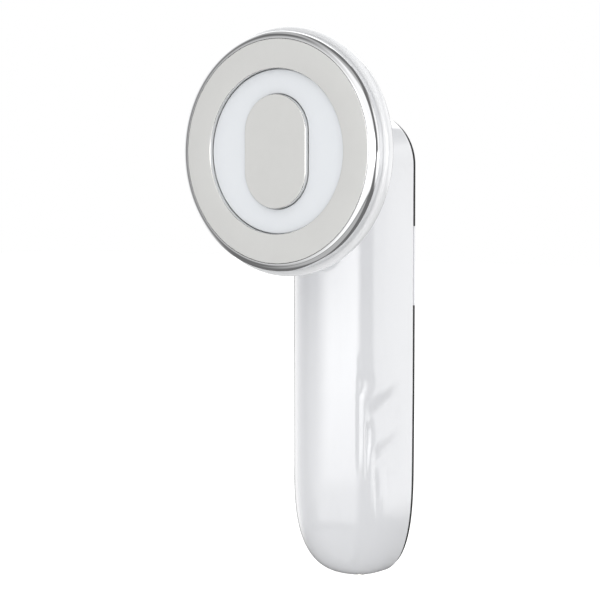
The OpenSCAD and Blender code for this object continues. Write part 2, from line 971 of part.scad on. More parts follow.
// Welded contact strips: a short one at the top, and one that returns from the bottom
module battery_tabs() {
    back = frame_y - seat_gap;
    inner_back = back - tab_t;
    meet_z = board_low_z - 1.2;
    color("silver") {
        strip(strip_in, strip_out)
            polygon([
                [cell_y - 4, cell_top_z],
                [board_y, cell_top_z],
                [board_y, board_low_z + 1.8],
                [board_y - tab_t, board_low_z + 1.8],
                [board_y - tab_t, cell_top_z + tab_t],
                [cell_y - 4, cell_top_z + tab_t]
            ]);
        strip(strip_in, strip_out)
            polygon([
                [cell_y - 2, cell_low_z],
                [cell_y - 2, cell_low_z - tab_t],
                [back, cell_low_z - tab_t],
                [back, meet_z],
                [board_back_y + tab_t, meet_z],
                [board_back_y + tab_t, board_low_z + 2.4],
                [board_back_y, board_low_z + 2.4],
                [board_back_y, meet_z - tab_t],
                [inner_back, meet_z - tab_t],
                [inner_back, cell_low_z]
            ]);
    }
}

module motor_can() {
    color("silver")
        translate([0, motor_y, motor_low_z])
            difference() {
                cylinder(h = motor_len, r = motor_d / 2);
                translate([0, 0, can_end])
                    cylinder(h = motor_len - 2 * can_end, r = motor_d / 2 - can_wall);
                translate([0, 0, can_end / 2])
                    cylinder(h = motor_len, r = shaft_r + hair);
            }
}

module motor_magnets() {
    outer = motor_d / 2 - can_wall;
    color("dimgray")
        translate([0, motor_y, motor_low_z + 3])
            difference() {
                cylinder(h = motor_len - 6, r = outer);
                translate([0, 0, -cut])
                    cylinder(h = motor_len, r = outer - magnet_t);
                translate([-motor_d, -1.5, -cut])
                    cube([2 * motor_d, 3, motor_len]);
            }
}

module motor_armature() {
    color("peru")
        translate([0, motor_y, motor_low_z + 4])
            difference() {
                union() {
                    cylinder(h = motor_len - 8, r = armature_r);
                    translate([0, 0, -2])
                        cylinder(h = 3, r = armature_r / 2);
                }
                translate([0, 0, -3])
                    cylinder(h = motor_len, r = shaft_r);
            }
}

module motor_shaft() {
    color("silver")
        translate([0, motor_y, motor_low_z + can_end / 2 + hair])
            cylinder(h = weight_top_z + 0.4 - motor_low_z - can_end / 2 - hair, r = shaft_r);
}

// Half a disc with a hub round the shaft
module eccentric_weight() {
    color("darkgoldenrod")
        translate([0, motor_y, weight_low_z])
            difference() {
                union() {
                    intersection() {
                        cylinder(h = weight_h, r = weight_r);
                        translate([-weight_r, -2 * weight_r, 0])
                            cube([2 * weight_r, 2 * weight_r, weight_h]);
                    }
                    cylinder(h = weight_h, r = shaft_r + 1);
                }
                translate([0, 0, -cut])
                    cylinder(h = weight_h + 2 * cut, r = shaft_r);
            }
}

module motor_bracket() {
    half = motor_d / 2 + 0.5;
    color("gainsboro")
        difference() {
            box([-half, motor_y + 2, bracket_low_z], [half, board_y, bracket_low_z + bracket_len]);
            translate([0, motor_y, bracket_low_z - cut])
                cylinder(h = bracket_len + 2 * cut, r = motor_d / 2);
        }
}

module motor_leads() {
    color("crimson")
        for (side = [-1, 1])
            bar(side * lead_x, motor_low_z - lead_r, motor_y + 2, board_y, lead_r);
}

module port_shell() {
    color("silver")
        translate([0, port_y, port_mouth_z])
            rotate([0, 0, 90])
                difference() {
                    oval(port_h, port_w, port_len);
                    translate([0, 0, -cut])
                        oval(port_h - 2 * port_wall, port_w - 2 * port_wall, port_len - 1 + cut);
                }
}

module port_tongue() {
    color("black")
        box([-port_w / 2 + 1.1, port_y - 0.35, port_mouth_z + 0.8],
            [port_w / 2 - 1.1, port_y + 0.35, port_top_z - 1]);
}

module port_board() {
    color("darkgreen")
        box([-port_board_w, port_board_y, port_board_low_z],
            [port_board_w, port_board_back_y, port_board_top_z]);
}

// Block behind the charging board, with a rail on each side of it
module port_carrier() {
    color("gainsboro") {
        box([-port_board_w - rail_w, port_board_back_y, port_board_low_z],
            [port_board_w + rail_w, frame_y, carrier_block_top_z]);
        for (side = [-1, 1])
            box([side * (port_board_w + hair + rail_w / 2) - rail_w / 2, port_board_y,
                 port_board_low_z],
                [side * (port_board_w + hair + rail_w / 2) + rail_w / 2,
                 port_board_back_y + seam, carrier_block_top_z]);
    }
}

// Flat cable from the charging board up behind the cell to the main board
module charge_flex() {
    back = frame_y - seat_gap;
    inner_back = back - flex_t;
    leave_z = port_board_top_z - 0.4;
    meet_z = board_low_z - 1.2;
    color("chocolate")
        strip(-strip_out, -strip_in)
            polygon([
                [port_board_back_y, leave_z - 1.8],
                [port_board_back_y + flex_t, leave_z - 1.8],
                [port_board_back_y + flex_t, leave_z - flex_t],
                [back, leave_z - flex_t],
                [back, meet_z],
                [board_back_y + flex_t, meet_z],
                [board_back_y + flex_t, board_low_z + 2.4],
                [board_back_y, board_low_z + 2.4],
                [board_back_y, meet_z - flex_t],
                [inner_back, meet_z - flex_t],
                [inner_back, leave_z],
                [port_board_back_y, leave_z]
            ]);
}

front_shell();
rear_frame();
upper_panel();
lower_panel();
power_button();
level_button();
key_gasket();
level_window();
frame_screws();
chrome_bezel();
ring_electrode();
oval_electrode();
light_ring();
electrode_carrier();
carrier_screws();
contact_pins();
lamp_board();
lamps();
head_housing();
neck_seal();
neck_screws();
head_flex();
main_board();
board_screws();
control_chips();
level_lamps();
switch_bodies();
power_plunger();
level_plunger();
battery();
battery_cradle();
battery_tabs();
motor_can();
motor_magnets();
motor_armature();
motor_shaft();
eccentric_weight();
motor_bracket();
motor_leads();
port_shell();
port_tongue();
port_board();
port_carrier();
charge_flex();
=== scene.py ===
import math

import bmesh
import bpy
import numpy as np
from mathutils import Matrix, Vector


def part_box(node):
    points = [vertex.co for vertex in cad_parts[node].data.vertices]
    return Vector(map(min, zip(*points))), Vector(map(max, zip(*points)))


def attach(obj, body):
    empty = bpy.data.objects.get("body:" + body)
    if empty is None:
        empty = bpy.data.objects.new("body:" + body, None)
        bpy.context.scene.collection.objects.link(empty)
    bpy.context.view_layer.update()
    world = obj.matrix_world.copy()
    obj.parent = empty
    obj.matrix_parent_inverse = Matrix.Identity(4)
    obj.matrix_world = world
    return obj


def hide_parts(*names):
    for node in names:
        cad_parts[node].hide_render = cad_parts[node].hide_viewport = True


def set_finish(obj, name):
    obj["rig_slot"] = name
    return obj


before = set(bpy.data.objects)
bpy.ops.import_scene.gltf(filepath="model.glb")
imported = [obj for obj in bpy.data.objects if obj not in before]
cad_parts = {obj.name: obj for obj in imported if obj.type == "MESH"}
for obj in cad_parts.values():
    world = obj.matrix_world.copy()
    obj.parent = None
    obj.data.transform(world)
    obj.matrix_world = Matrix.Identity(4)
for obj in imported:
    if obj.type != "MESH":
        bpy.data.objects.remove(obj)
bpy.context.view_layer.update()

# Hand-held facial toning device. The solids come from the CAD frame; this script dresses them.
# Sizes are in millimetres until a mesh is made. +Z runs up the handle, the treatment face looks along -Y.

millimetre = 0.001


def span(node, axis):
    # Lowest and highest place of a CAD node along an axis
    return [round(corner[axis] / millimetre, 3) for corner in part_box(node)]


def middle(node, axis):
    return round(sum(span(node, axis)) / 2, 3)


backY = span("front_shell", 1)[1]       # plane where the white shell ends at the back
panelY = span("lower_panel", 1)[1]      # outer face of the black panels
bandY = span("rear_frame", 1)[1]        # outer face of the white control band
frameY = span("key_gasket", 1)[1]       # inner face of the rear frame, on the keys' gasket
boardY = span("main_board", 1)[1]       # face of the main board that the rear frame's bosses press on
faceY = span("ring_electrode", 1)[0]    # treatment face
headBackY = span("head_housing", 1)[1]  # flat back of the head
headZ = middle("chrome_bezel", 2)       # height of the head's axis
neckZ = middle("neck_seal", 2)          # height of the neck's axis and of the rounded top's centre


# Meshes from arrays

def gridSquares(rows, columns, closeRows=False, closeColumns=False):
    # Corner numbers of every square in a grid of points, joined round in either direction if asked
    low = np.arange(rows if closeRows else rows - 1)
    left = np.arange(columns if closeColumns else columns - 1)
    low, left = np.meshgrid(low, left, indexing="ij")
    high, right = (low + 1) % rows, (left + 1) % columns
    corners = [(low, left), (low, right), (high, right), (high, left)]
    return np.stack([row * columns + column for row, column in corners], -1).reshape(-1, 4)


def makePiece(name, sheets, caps=(), sharp=35.0):
    # Each sheet is a grid of points and two flags that join it round along its rows or its columns;
    # each cap is a loop of points closed by one flat face
    points, faces, count = [], [], 0
    for grid, closeRows, closeColumns in sheets:
        rows, columns = grid.shape[:2]
        points.append(grid.reshape(-1, 3))
        faces += (gridSquares(rows, columns, closeRows, closeColumns) + count).tolist()
        count += rows * columns
    for loop in caps:
        points.append(loop)
        faces.append(list(range(count, count + len(loop))))
        count += len(loop)
    mesh = bpy.data.meshes.new(name)
    mesh.from_pydata((np.concatenate(points) * millimetre).tolist(), [], faces)
    return finishMesh(name, mesh, sharp)


def finishMesh(name, mesh, sharp):
    # Merges doubles, so that seams and poles are closed, and turns all faces outwards
    mergeWithin, shortest = 2e-7, 1e-8      # metres
    work = bmesh.new()
    work.from_mesh(mesh)
    bmesh.ops.remove_doubles(work, verts=work.verts, dist=mergeWithin)
    bmesh.ops.dissolve_degenerate(work, edges=work.edges, dist=shortest)
    bmesh.ops.recalc_face_normals(work, faces=work.faces)
    work.to_mesh(mesh)
    work.free()
    mesh.shade_smooth()
    mesh.set_sharp_from_angle(angle=math.radians(sharp))
    piece = bpy.data.objects.new(name, mesh)
    bpy.context.scene.collection.objects.link(piece)
    return piece


def combined(piece, others, operation, sharp=35.0):
    # Cuts other closed shapes out of the piece, or welds them to it, and keeps the result as its mesh
    for other in others:
        change = piece.modifiers.new(operation, "BOOLEAN")
        change.operation = operation
        change.solver = "EXACT"
        change.object = other
    shapes = bpy.context.evaluated_depsgraph_get()
    mesh = bpy.data.meshes.new_from_object(piece.evaluated_get(shapes))
    piece.modifiers.clear()
    old, piece.data = piece.data, mesh
    bpy.data.meshes.remove(old)
    mesh.shade_smooth()
    mesh.set_sharp_from_angle(angle=math.radians(sharp))
    for other in others:
        bpy.data.objects.remove(other)
    return piece


def cornerCurves(corners, cuts, steps=6):
    # At each corner of a closed profile, the quadratic curve a(1-t)^2 + 2ct(1-t) + bt^2, where c is the
    # corner and a and b lie its cut length away on both sides
    corners = np.asarray(corners, float)
    cuts = np.asarray(cuts, float)[:, None]
    before = np.roll(corners, 1, 0) - corners
    after = np.roll(corners, -1, 0) - corners
    before /= np.maximum(np.linalg.norm(before, axis=1), 1e-9)[:, None]
    after /= np.maximum(np.linalg.norm(after, axis=1), 1e-9)[:, None]
    t = np.linspace(0, 1, steps + 1)[None, :, None]
    start, end = (corners + before * cuts)[:, None], (corners + after * cuts)[:, None]
    return start * (1 - t) ** 2 + corners[:, None] * 2 * t * (1 - t) + end * t ** 2


def lathe(profile, steps=256, x=0.0, y=faceY, z=headZ):
    # Each profile point (radius, depth) runs round an axis along Y: (x + r cos t, y + depth, z + r sin t)
    turn = np.linspace(0, 2 * np.pi, steps, endpoint=False)
    radius, depth = profile[:, :1], profile[:, 1:]
    return np.stack([x + radius * np.cos(turn), y + depth + 0 * turn, z + radius * np.sin(turn)], -1)


def tube(x, z, lowY, highY, outer, inner=0.0, steps=48):
    # A closed round post or tube along Y
    corners = [(outer, lowY), (outer, highY), (inner, highY), (inner, lowY)]
    return lathe(np.array(corners, float), steps, x, 0.0, z), True, True


def holeCutter(name, corners, x, z, steps):
    # A turned shape along Y, for cutting, from its corners (radius, y)
    return makePiece(name, [(lathe(np.array(corners, float), steps, x, 0, z), True, True)])


def turnedPiece(name, corners, cuts, steps=256, curveSteps=6, others=(), **place):
    # A profile with rounded corners carried round an axis along Y, with other closed shapes beside it
    profile = cornerCurves(corners, cuts, curveSteps).reshape(-1, 2)
    return makePiece(name, [(lathe(profile, steps, **place), True, True), *others])


def onCircle(radius, degrees, z):
    # x and z of a place on a circle round an axis along Y
    return radius * math.cos(math.radians(degrees)), z + radius * math.sin(math.radians(degrees))


# The handle's surface: a D section that opens to the back, round at the top and rounded in at the bottom

handle = {
    "halfWidth": span("front_shell", 0)[1], "depth": 27.7, "squareness": 3.7,
    "bottomZ": span("front_shell", 2)[0],
    "sideStartZ": -13.0, "sidePower": 2.85,     # where the sides start to round in, and how square
    "heelStartZ": -13.0, "heelPower": 3.0,      # the same for the front
    "taper": 0.012, "taperZ": (8.0, -26.0),     # share of the width that the grip loses, and where
    "wall": 2.0, "edge": 1.15,                  # edge: round along the rim at the back
    "fineTopZ": 32.0, "rows": {"bottom": 64, "grip": 112, "upper": 44, "top": 40}, "crowding": 0.8,
    "fineAlong": (11.0, 25.5), "columns": {"edge": 8, "side": 20, "fine": 76, "front": 20, "inside": 28},
}


def roundIn(z, start, power, end=handle["bottomZ"]):
    # Share of a width left where a side rounds in: (1 - t^power)^(1/power), t from 0 at start to 1 at end
    t = np.clip((start - z) / (start - end), 0, 1)
    return (1 - t ** power) ** (1 / power)


def sideShare(z, end=handle["bottomZ"]):
    # Share of the half width: a slight taper down the grip, and the round at the bottom
    high, low = handle["taperZ"]
    taper = 1 - handle["taper"] * np.clip((high - z) / (high - low), 0, 1)
    return taper * roundIn(z, handle["sideStartZ"], handle["sidePower"], end)


def bottomRows(start, end):
    # Heights from the bottom tip, at end, up to the start of the round: start - (start - end) sin(t)^crowding
    t = np.linspace(1, 0, handle["rows"]["bottom"], endpoint=False)
    return start - (start - end) * np.sin(t * np.pi / 2) ** handle["crowding"]


def sectionTable():
    # The D section's own angle as a function of the length along it, measured from the rim
    samples, crowding = 6001, 6
    turn = (np.linspace(0, 1, samples) ** crowding) * np.pi / 2
    x = handle["halfWidth"] * np.cos(turn)
    y = handle["depth"] * np.sin(turn) ** (2 / handle["squareness"])
    length = np.concatenate([[0], np.cumsum(np.hypot(np.diff(x), np.diff(y)))])
    return length, turn


sectionLength, sectionTurn = sectionTable()
halfLength = sectionLength[-1]


def shellRows(inset):
    # Heights, half widths and depths of the shell's slices from the bottom tip to the top tip; above the
    # neck's axis the width is h cos t and the depth d cos(t)^(2 / squareness) at height h sin t
    size, rows = handle, handle["rows"]
    low, heel = size["bottomZ"] + inset, size["heelStartZ"]
    grip = np.linspace(heel, size["fineTopZ"], rows["grip"], endpoint=False)
    upper = np.linspace(size["fineTopZ"], neckZ, rows["upper"])
    z = np.concatenate([bottomRows(heel, low), grip, upper])
    wide = (size["halfWidth"] - inset) * sideShare(z, low)
    deep = (size["depth"] - inset) * roundIn(z, heel, size["heelPower"], low)
    rise = np.linspace(0, 1, rows["top"])[1:] * np.pi / 2
    top = size["halfWidth"] - inset
    z = np.concatenate([z, neckZ + top * np.sin(rise)])
    wide = np.concatenate([wide, top * np.cos(rise)])
    deep = np.concatenate([deep, (size["depth"] - inset) * np.cos(rise) ** (2 / size["squareness"])])
    return z, np.maximum(wide, 0), np.maximum(deep, 0)


def shellGrid(inset, along):
    # x = w cos t, y = back - d sin(t)^(2 / squareness), at the section angle t of each length along it
    z, wide, deep = shellRows(inset)
    turn = np.interp(along, sectionLength, sectionTurn)
    turn = np.concatenate([turn, np.pi - turn[-2::-1]])
    x = wide[:, None] * np.cos(turn)
    y = backY - deep[:, None] * np.maximum(np.sin(turn), 0) ** (2 / handle["squareness"])
    return np.stack([x, y, np.broadcast_to(z[:, None], x.shape)], -1)


def outwardNormals(grid):
    # Unit normals of a grid, from the cross product of its two directions, turned away from its middle line
    normal = np.cross(np.gradient(grid, axis=1), np.gradient(grid, axis=0))
    if np.sum(normal[:, 3, 0] * grid[:, 3, 0]) < 0:
        normal = -normal
    return normal / np.maximum(np.linalg.norm(normal, axis=-1), 1e-12)[..., None]


def easeIn(t):
    # 0 below 0, 1 above 1, and t^2 (3 - 2t) between
    t = np.clip(t, 0, 1)
    return t * t * (3 - 2 * t)


def between(pair, share):
    return pair[0] + (pair[1] - pair[0]) * share


# Down each side run narrow creases, one below and behind the other, and behind them soft finger pads.
# Lengths are measured along the section from the rim, heights below a crease's or pad's own top.
# Pairs of depth, wall and reach are a crease's value near its top and its value in the narrow tail.
creases = [
    {"front": 23.95, "drift": 0.0, "top": 20.5, "cap": 3.0, "depth": (0.09, 0.09), "wall": (1.3, 1.3),
     "reach": (4.0, 4.0), "narrows": (5.0, 9.0), "ends": (3.5, 7.5)},
    {"front": 24.15, "drift": 0.0, "top": 15.8, "cap": 4.2, "depth": (0.5, 0.26), "wall": (2.5, 1.25),
     "reach": (2.3, 1.15), "narrows": (5.0, 9.0), "ends": (19.0, 33.0)},
    {"front": 21.6, "drift": 0.0, "top": 1.5, "cap": 3.6, "depth": (0.62, 0.3), "wall": (1.4, 1.1),
     "reach": (1.2, 0.9), "narrows": (8.0, 13.0), "ends": (12.0, 20.0)},
    {"front": 18.4, "drift": 0.03, "top": -11.5, "cap": 3.5, "depth": (0.32, 0.2), "wall": (1.0, 0.9),
     "reach": (1.3, 1.3), "narrows": (6.0, 10.0), "ends": (11.0, 17.0)},
]
pads = [
    {"front": 21.6, "top": 6.7, "lean": 0.48, "depth": 0.8, "wall": 6.4, "length": 12.5},
    {"front": 19.4, "top": -6.0, "lean": 0.5, "depth": 0.82, "wall": 6.2, "length": 11.0},
    {"front": 15.0, "top": -13.3, "lean": 0.26, "depth": 0.3, "wall": 3.4, "length": 10.0},
]
padEdge = 2.6           # length over which a pad starts behind its front
padBack = (3.0, 13.0)   # lengths over which the pads fade towards the rim


def creaseDepth(along, z):
    # Sum over the creases of depth * cap step down from the top * wall step behind the front * fade * end,
    # where the fade is exp(-(distance behind the wall / reach)^1.5)
    total = 0
    for crease in creases:
        below = crease["top"] - z
        behind = crease["front"] - crease["drift"] * np.maximum(below, 0) - along
        start, end = crease["narrows"]
        narrow = easeIn((below - start) / (end - start))
        depth, wall, reach = (between(crease[name], narrow) for name in ("depth", "wall", "reach"))
        fade = np.exp(-(np.maximum(behind - wall, 0) / reach) ** 1.5)
        start, end = crease["ends"]
        run = 1 - easeIn((below - start) / (end - start))
        total = total + depth * easeIn(below / crease["cap"]) * easeIn(behind / wall) * fade * run
    return total


def padDepth(along, z):
    # Sum over the pads of depth * step down over the wall's height * straight return to the surface below it
    total = 0
    for pad in pads:
        below = pad["top"] + pad["lean"] * (pad["front"] - along) - z
        back = np.clip(1 - (below - pad["wall"]) / pad["length"], 0, 1)
        front = easeIn((pad["front"] - along) / padEdge)
        total = total + pad["depth"] * easeIn(below / pad["wall"]) * back * front
    low, high = padBack
    return total * easeIn((along - low) / (high - low))


def shellOutside():
    # The plain surface pushed in along its normals by the creases, the pads and the round edge at the rim,
    # which is e - sqrt(e^2 - (e - length)^2) deep and fades where the shell gets shallow
    edge, columns = handle["edge"], handle["columns"]
    start, end = handle["fineAlong"]
    along = np.concatenate([
        edge * (1 - np.cos(np.linspace(0, np.pi / 2, columns["edge"]))),
        np.linspace(edge, start, columns["side"])[1:],
        np.linspace(start, end, columns["fine"])[1:],
        np.linspace(end, halfLength, columns["front"])[1:]])
    grid = shellGrid(0, along)
    both = np.concatenate([along, along[-2::-1]])
    z, deep = grid[..., 2], shellRows(0)[2][:, None]
    inset = edge - np.sqrt(edge ** 2 - np.maximum(edge - both, 0) ** 2)
    inward = creaseDepth(both, z) + padDepth(both, z) + inset * easeIn(deep / edge / 3 - 0.3)
    return grid - outwardNormals(grid) * inward[..., None]


def shellSheets():
    # The outside, the inside one wall further in, and the flat rim between them on both sides
    outside = shellOutside()
    inside = shellGrid(handle["wall"], np.linspace(0, halfLength, handle["columns"]["inside"]))
    rims = [np.stack([outside[:, side], inside[:, side]], 1) for side in (0, -1)]
    return [(outside, False, False), (inside, False, False)] + [(rim, False, False) for rim in rims]


def surfaceDepth(x, z):
    # How deep the plain shell lies behind the back plane at x, z: depth * (1 - r^2 / w^2)^(1 / squareness)
    r = np.where(z > neckZ, np.hypot(x, z - neckZ), np.abs(x))
    share = np.maximum(1 - (r / handle["halfWidth"]) ** 2, 0)
    return handle["depth"] * share ** (1 / handle["squareness"])


screwPlaces = [(-9.8, 28.0), (9.8, 28.0), (0, 82.0), (0, -31.0)]    # x and z of the rear frame's screws
post = {"outer": 2.4, "pilot": 1.05, "startY": -8.0, "cover": 1.0}


def framePosts():
    # Tubes for the rear frame's screws; the pair at the sides starts inside the shell's wall, that far
    # under its surface
    sideY = backY - surfaceDepth(screwPlaces[1][0] + post["outer"], 0) + post["cover"]
    return [tube(x, z, sideY if x else post["startY"], frameY, post["outer"], post["pilot"])
            for x, z in screwPlaces]


port = {"y": 3.0, "width": 3.56, "length": 9.24, "topZ": -42.5, "lowZ": -47.0}


def stadium(width, length, steps=24):
    # Outline of a slot: a circle whose two halves are moved apart along its length
    turn = np.linspace(0, 2 * np.pi, 2 * steps, endpoint=False)
    shift = np.where(np.arange(2 * steps) < steps, 0.5, -0.5) * (length - width)
    return width / 2 * np.cos(turn), width / 2 * np.sin(turn) + shift


def portSheets():
    # The charging slot, long in X, as a prism along Z for cutting
    y, x = stadium(port["width"], port["length"])
    rings = [np.stack([x, port["y"] + y, np.full_like(x, z)], -1) for z in (port["topZ"], port["lowZ"])]
    return [(np.stack(rings), False, True)], rings


neck = {
    "radius": 10.75, "bore": 9.0, "straight": 2.0, "edge": 0.25, "boreEdge": 0.3, "steps": 192,
    "foot": 13.3, "footSinks": (0.8, 1.2), "footWall": 2.2,     # where the flare meets the shell
    "flare": {"runIn": 1.3, "longest": 2.2, "share": 1.2, "flattest": 0.05, "steps": 15},
    "boreEndY": -3.0, "cutY": (-30.0, 2.0), "cutInset": 0.02, "cutSteps": 96,
    "bossRing": 7.2, "bossTurns": (30, 150, 270), "bossRadius": 2.2, "bossLength": 8.5,
    "pilot": 1.05, "bossSteps": 32,
}


def neckGrid():
    # Round the neck's axis, a curve leaves the straight tube and runs out along the shell:
    # a cubic Hermite curve from (radius, straight end) to the shell's surface at the foot radius
    size, flare = neck, neck["flare"]
    turn = np.linspace(0, 2 * np.pi, size["steps"], endpoint=False)
    c, s = np.cos(turn), np.sin(turn)
    flat = np.ones_like(turn)
    radius, bore, foot, edge = size["radius"], size["bore"], size["foot"], size["edge"]

    def shellY(r):
        return backY - surfaceDepth(r * c, neckZ + r * s)

    startY, footY, near = headBackY + size["straight"], shellY(foot), 0.05
    slope = (shellY(foot + near) - shellY(foot - near)) / (2 * near)
    reach = footY - startY
    t = np.linspace(0, 1, flare["steps"])[:, None]
    h00, h10 = 2 * t ** 3 - 3 * t ** 2 + 1, t ** 3 - 2 * t ** 2 + t
    h01, h11 = 3 * t ** 2 - 2 * t ** 3, t ** 3 - t ** 2
    steepShare = reach / np.maximum(slope, flare["flattest"]) * flare["share"]
    runOut = np.minimum(flare["longest"] * (foot - radius), steepShare)
    flareRadius = h00 * radius + h01 * foot + h11 * runOut
    flareY = h00 * startY + h10 * reach * flare["runIn"] + h01 * footY + h11 * runOut * slope
    rows = [
        (bore * flat, size["boreEndY"] * flat), (bore * flat, (headBackY + size["boreEdge"]) * flat),
        ((bore + size["boreEdge"]) * flat, headBackY * flat), ((radius - edge) * flat, headBackY * flat),
        (radius * flat, (headBackY + edge) * flat)]
    rows += list(zip(flareRadius, flareY))
    rows += [((foot - inset) * flat, footY + sink)
             for inset, sink in zip((edge, size["footWall"]), size["footSinks"])]
    r = np.stack([row[0] for row in rows])
    depth = np.stack([row[1] for row in rows])
    return np.stack([r * c, depth, neckZ + r * s], -1)


def neckBosses():
    places = [onCircle(neck["bossRing"], turn, neckZ) for turn in neck["bossTurns"]]
    sizes = headBackY, headBackY + neck["bossLength"], neck["bossRadius"], neck["pilot"], neck["bossSteps"]
    return [tube(x, z, *sizes) for x, z in places]


print("handle shell")
shell = makePiece("handleShell", shellSheets() + framePosts())
bore = tube(0, neckZ, *neck["cutY"], neck["bore"] - neck["cutInset"], steps=neck["cutSteps"])
combined(shell, [makePiece("boreCutter", [bore]), makePiece("portCutter", *portSheets())], "DIFFERENCE")
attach(shell, "handle")
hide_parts("front_shell")
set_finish(shell, "white_gloss")

neckPiece = makePiece("neckTube", [(neckGrid(), True, True)] + neckBosses())
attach(neckPiece, "handle")
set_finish(neckPiece, "white_gloss")


# Flat plates: the rear frame and the two black panels

band = {
    "halfWidth": 14.7, "lowZ": 31.9, "highZ": 54.3, "edge": 0.18, "overlap": 0.02,
    "keyZ": (middle("level_button", 2), middle("power_button", 2)),
}
window = {"z": middle("level_window", 2), "width": 2.1, "length": 9.3, "flare": 0.12}   # slot over the lamps
panelSize = {"halfWidth": 14.6, "edge": 0.15, "seam": 0.06}
frameSize = {"halfWidth": 12.85, "edge": 0.1}
plateSteps = 49         # points round half a plate's top
cutY = (9.0, 14.0)      # cuts through the rear frame start and end outside it
past = 1.0              # how far the window's slot runs beyond the faces that it cuts
keyHole = {"radius": 4.35, "pocket": 5.2, "chamferY": 13.1, "mouth": 4.62, "steps": 96}
screwHole = {"radius": 1.1, "headRadius": 1.75, "headY": 11.5, "steps": 32}
boardBoss = {
    "places": [(x, z) for x in (-8.6, 8.6) for z in (35.9, 70.0)],
    "radius": 1.8, "overlap": 0.5, "pilot": 0.85, "pilotY": (6.0, 11.9), "steps": 24,
}


def plateRing(width, low=None, high=None):
    # Outline of a back plate: rounded bottom or straight edge, straight sides, round top or straight edge
    if low is None:
        tip = handle["bottomZ"] + handle["halfWidth"] - width
        z = bottomRows(handle["taperZ"][0], tip)
        side = np.stack([width * sideShare(z, tip), z], -1)
    else:
        side = np.array([[width, low]])
    if high is None:
        turn = np.linspace(0, np.pi / 2, plateSteps)
        top = np.stack([width * np.cos(turn), neckZ + width * np.sin(turn)], -1)
    else:
        top = np.array([[width, high]])
    half = np.concatenate([side, top])
    return np.concatenate([half, half[::-1] * [-1, 1]])


def plateSheets(width, lowY, highY, edge, low=None, high=None, steps=4):
    # The outline runs up the plate's side and round its outer edge on a quarter circle; flat faces close it
    turn = np.linspace(0, np.pi / 2, steps + 1)
    profile = [(0.0, lowY)] + list(zip(edge * (1 - np.cos(turn)), highY - edge * (1 - np.sin(turn))))
    rings = []
    for inset, y in profile:
        lowEnd = None if low is None else low + inset
        highEnd = None if high is None else high - inset
        ring = plateRing(width - inset, lowEnd, highEnd)
        rings.append(np.stack([ring[:, 0], np.full(len(ring), y), ring[:, 1]], -1))
    return [(np.stack(rings), False, True)], [rings[0], rings[-1]]


def windowSlot(lowY, highY, flare=0.0):
    # The upright slot over the level lamps, for cutting; it widens by flare at its outer end
    rings = []
    for y, more in ((lowY, 0), (highY - flare, 0), (highY, flare), (highY + past, flare)):
        across, up = stadium(window["width"] + 2 * more, window["length"] + 2 * more)
        rings.append(np.stack([across, np.full_like(up, y), window["z"] + up], -1))
    return makePiece("slotCutter", [(np.stack(rings), False, True)], [rings[0], rings[-1]])


def frameCutters():
    # Key holes with a pocket for the flange inside and a chamfer outside, the window's slot, countersunk
    # screw holes and the board bosses' pilot holes
    low, high = cutY
    hole = keyHole
    corners = [
        (0, low), (hole["pocket"], low), (hole["pocket"], backY), (hole["radius"], backY),
        (hole["radius"], hole["chamferY"]), (hole["mouth"], bandY), (hole["mouth"], high), (0, high)]
    cutters = [holeCutter("keyCutter", corners, 0, z, hole["steps"]) for z in band["keyZ"]]
    cutters.append(windowSlot(low, panelY))
    hole = screwHole
    corners = [
        (0, low), (hole["radius"], low), (hole["radius"], hole["headY"]),
        (hole["headRadius"], hole["headY"]), (hole["headRadius"], high), (0, high)]
    cutters += [holeCutter("screwCutter", corners, x, z, hole["steps"]) for x, z in screwPlaces]
    boss = boardBoss
    pilots = [tube(x, z, *boss["pilotY"], boss["pilot"], steps=boss["steps"]) for x, z in boss["places"]]
    return cutters + [makePiece("bossCutter", [pilot]) for pilot in pilots]


print("black panels")
panels = []
for name, node, low, high in (
        ("lowerPanel", "lower_panel", None, band["lowZ"] - panelSize["seam"]),
        ("upperPanel", "upper_panel", band["highZ"] + panelSize["seam"], None)):
    panel = makePiece(name, *plateSheets(
        panelSize["halfWidth"], backY, panelY, panelSize["edge"], low, high))
    panels.append(panel)
    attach(panel, "handle")
    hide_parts(node)
    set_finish(panel, "black_gloss")
combined(panels[1], [windowSlot(frameY - past, panelY, window["flare"])], "DIFFERENCE")

print("rear frame")
rear = makePiece("rearFrame", *plateSheets(frameSize["halfWidth"], frameY, backY, frameSize["edge"]))
bandBlock = makePiece("bandBlock", *plateSheets(
    band["halfWidth"], backY - band["overlap"], bandY, band["edge"], band["lowZ"], band["highZ"]))
bossEndY = frameY + boardBoss["overlap"]
bosses = [tube(x, z, boardY, bossEndY, boardBoss["radius"]) for x, z in boardBoss["places"]]
combined(rear, [bandBlock] + [makePiece("bossBlock", [boss]) for boss in bosses], "UNION")
combined(rear, frameCutters(), "DIFFERENCE")
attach(rear, "handle")
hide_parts("rear_frame")
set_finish(rear, "white_gloss")

print("buttons")
key = {
    "radius": 4.2, "rimY": 13.05, "dishY": 12.93, "stem": 2.0, "stemY": 9.55, "flange": 4.9,
    "flangeY": (11.75, 12.45), "cuts": [0.35, 0, 0, 0.15, 0.2, 0.15, 0.15, 0.1], "steps": 128,
}


def keyCorners():
    # From the cap's rim in over the slightly dished top, down to the stem's end, and out round the flange
    low, high = key["flangeY"]
    return [
        (key["radius"], key["rimY"]), (0, key["dishY"]), (0, key["stemY"]), (key["stem"], key["stemY"]),
        (key["stem"], low), (key["flange"], low), (key["flange"], high), (key["radius"], high)]


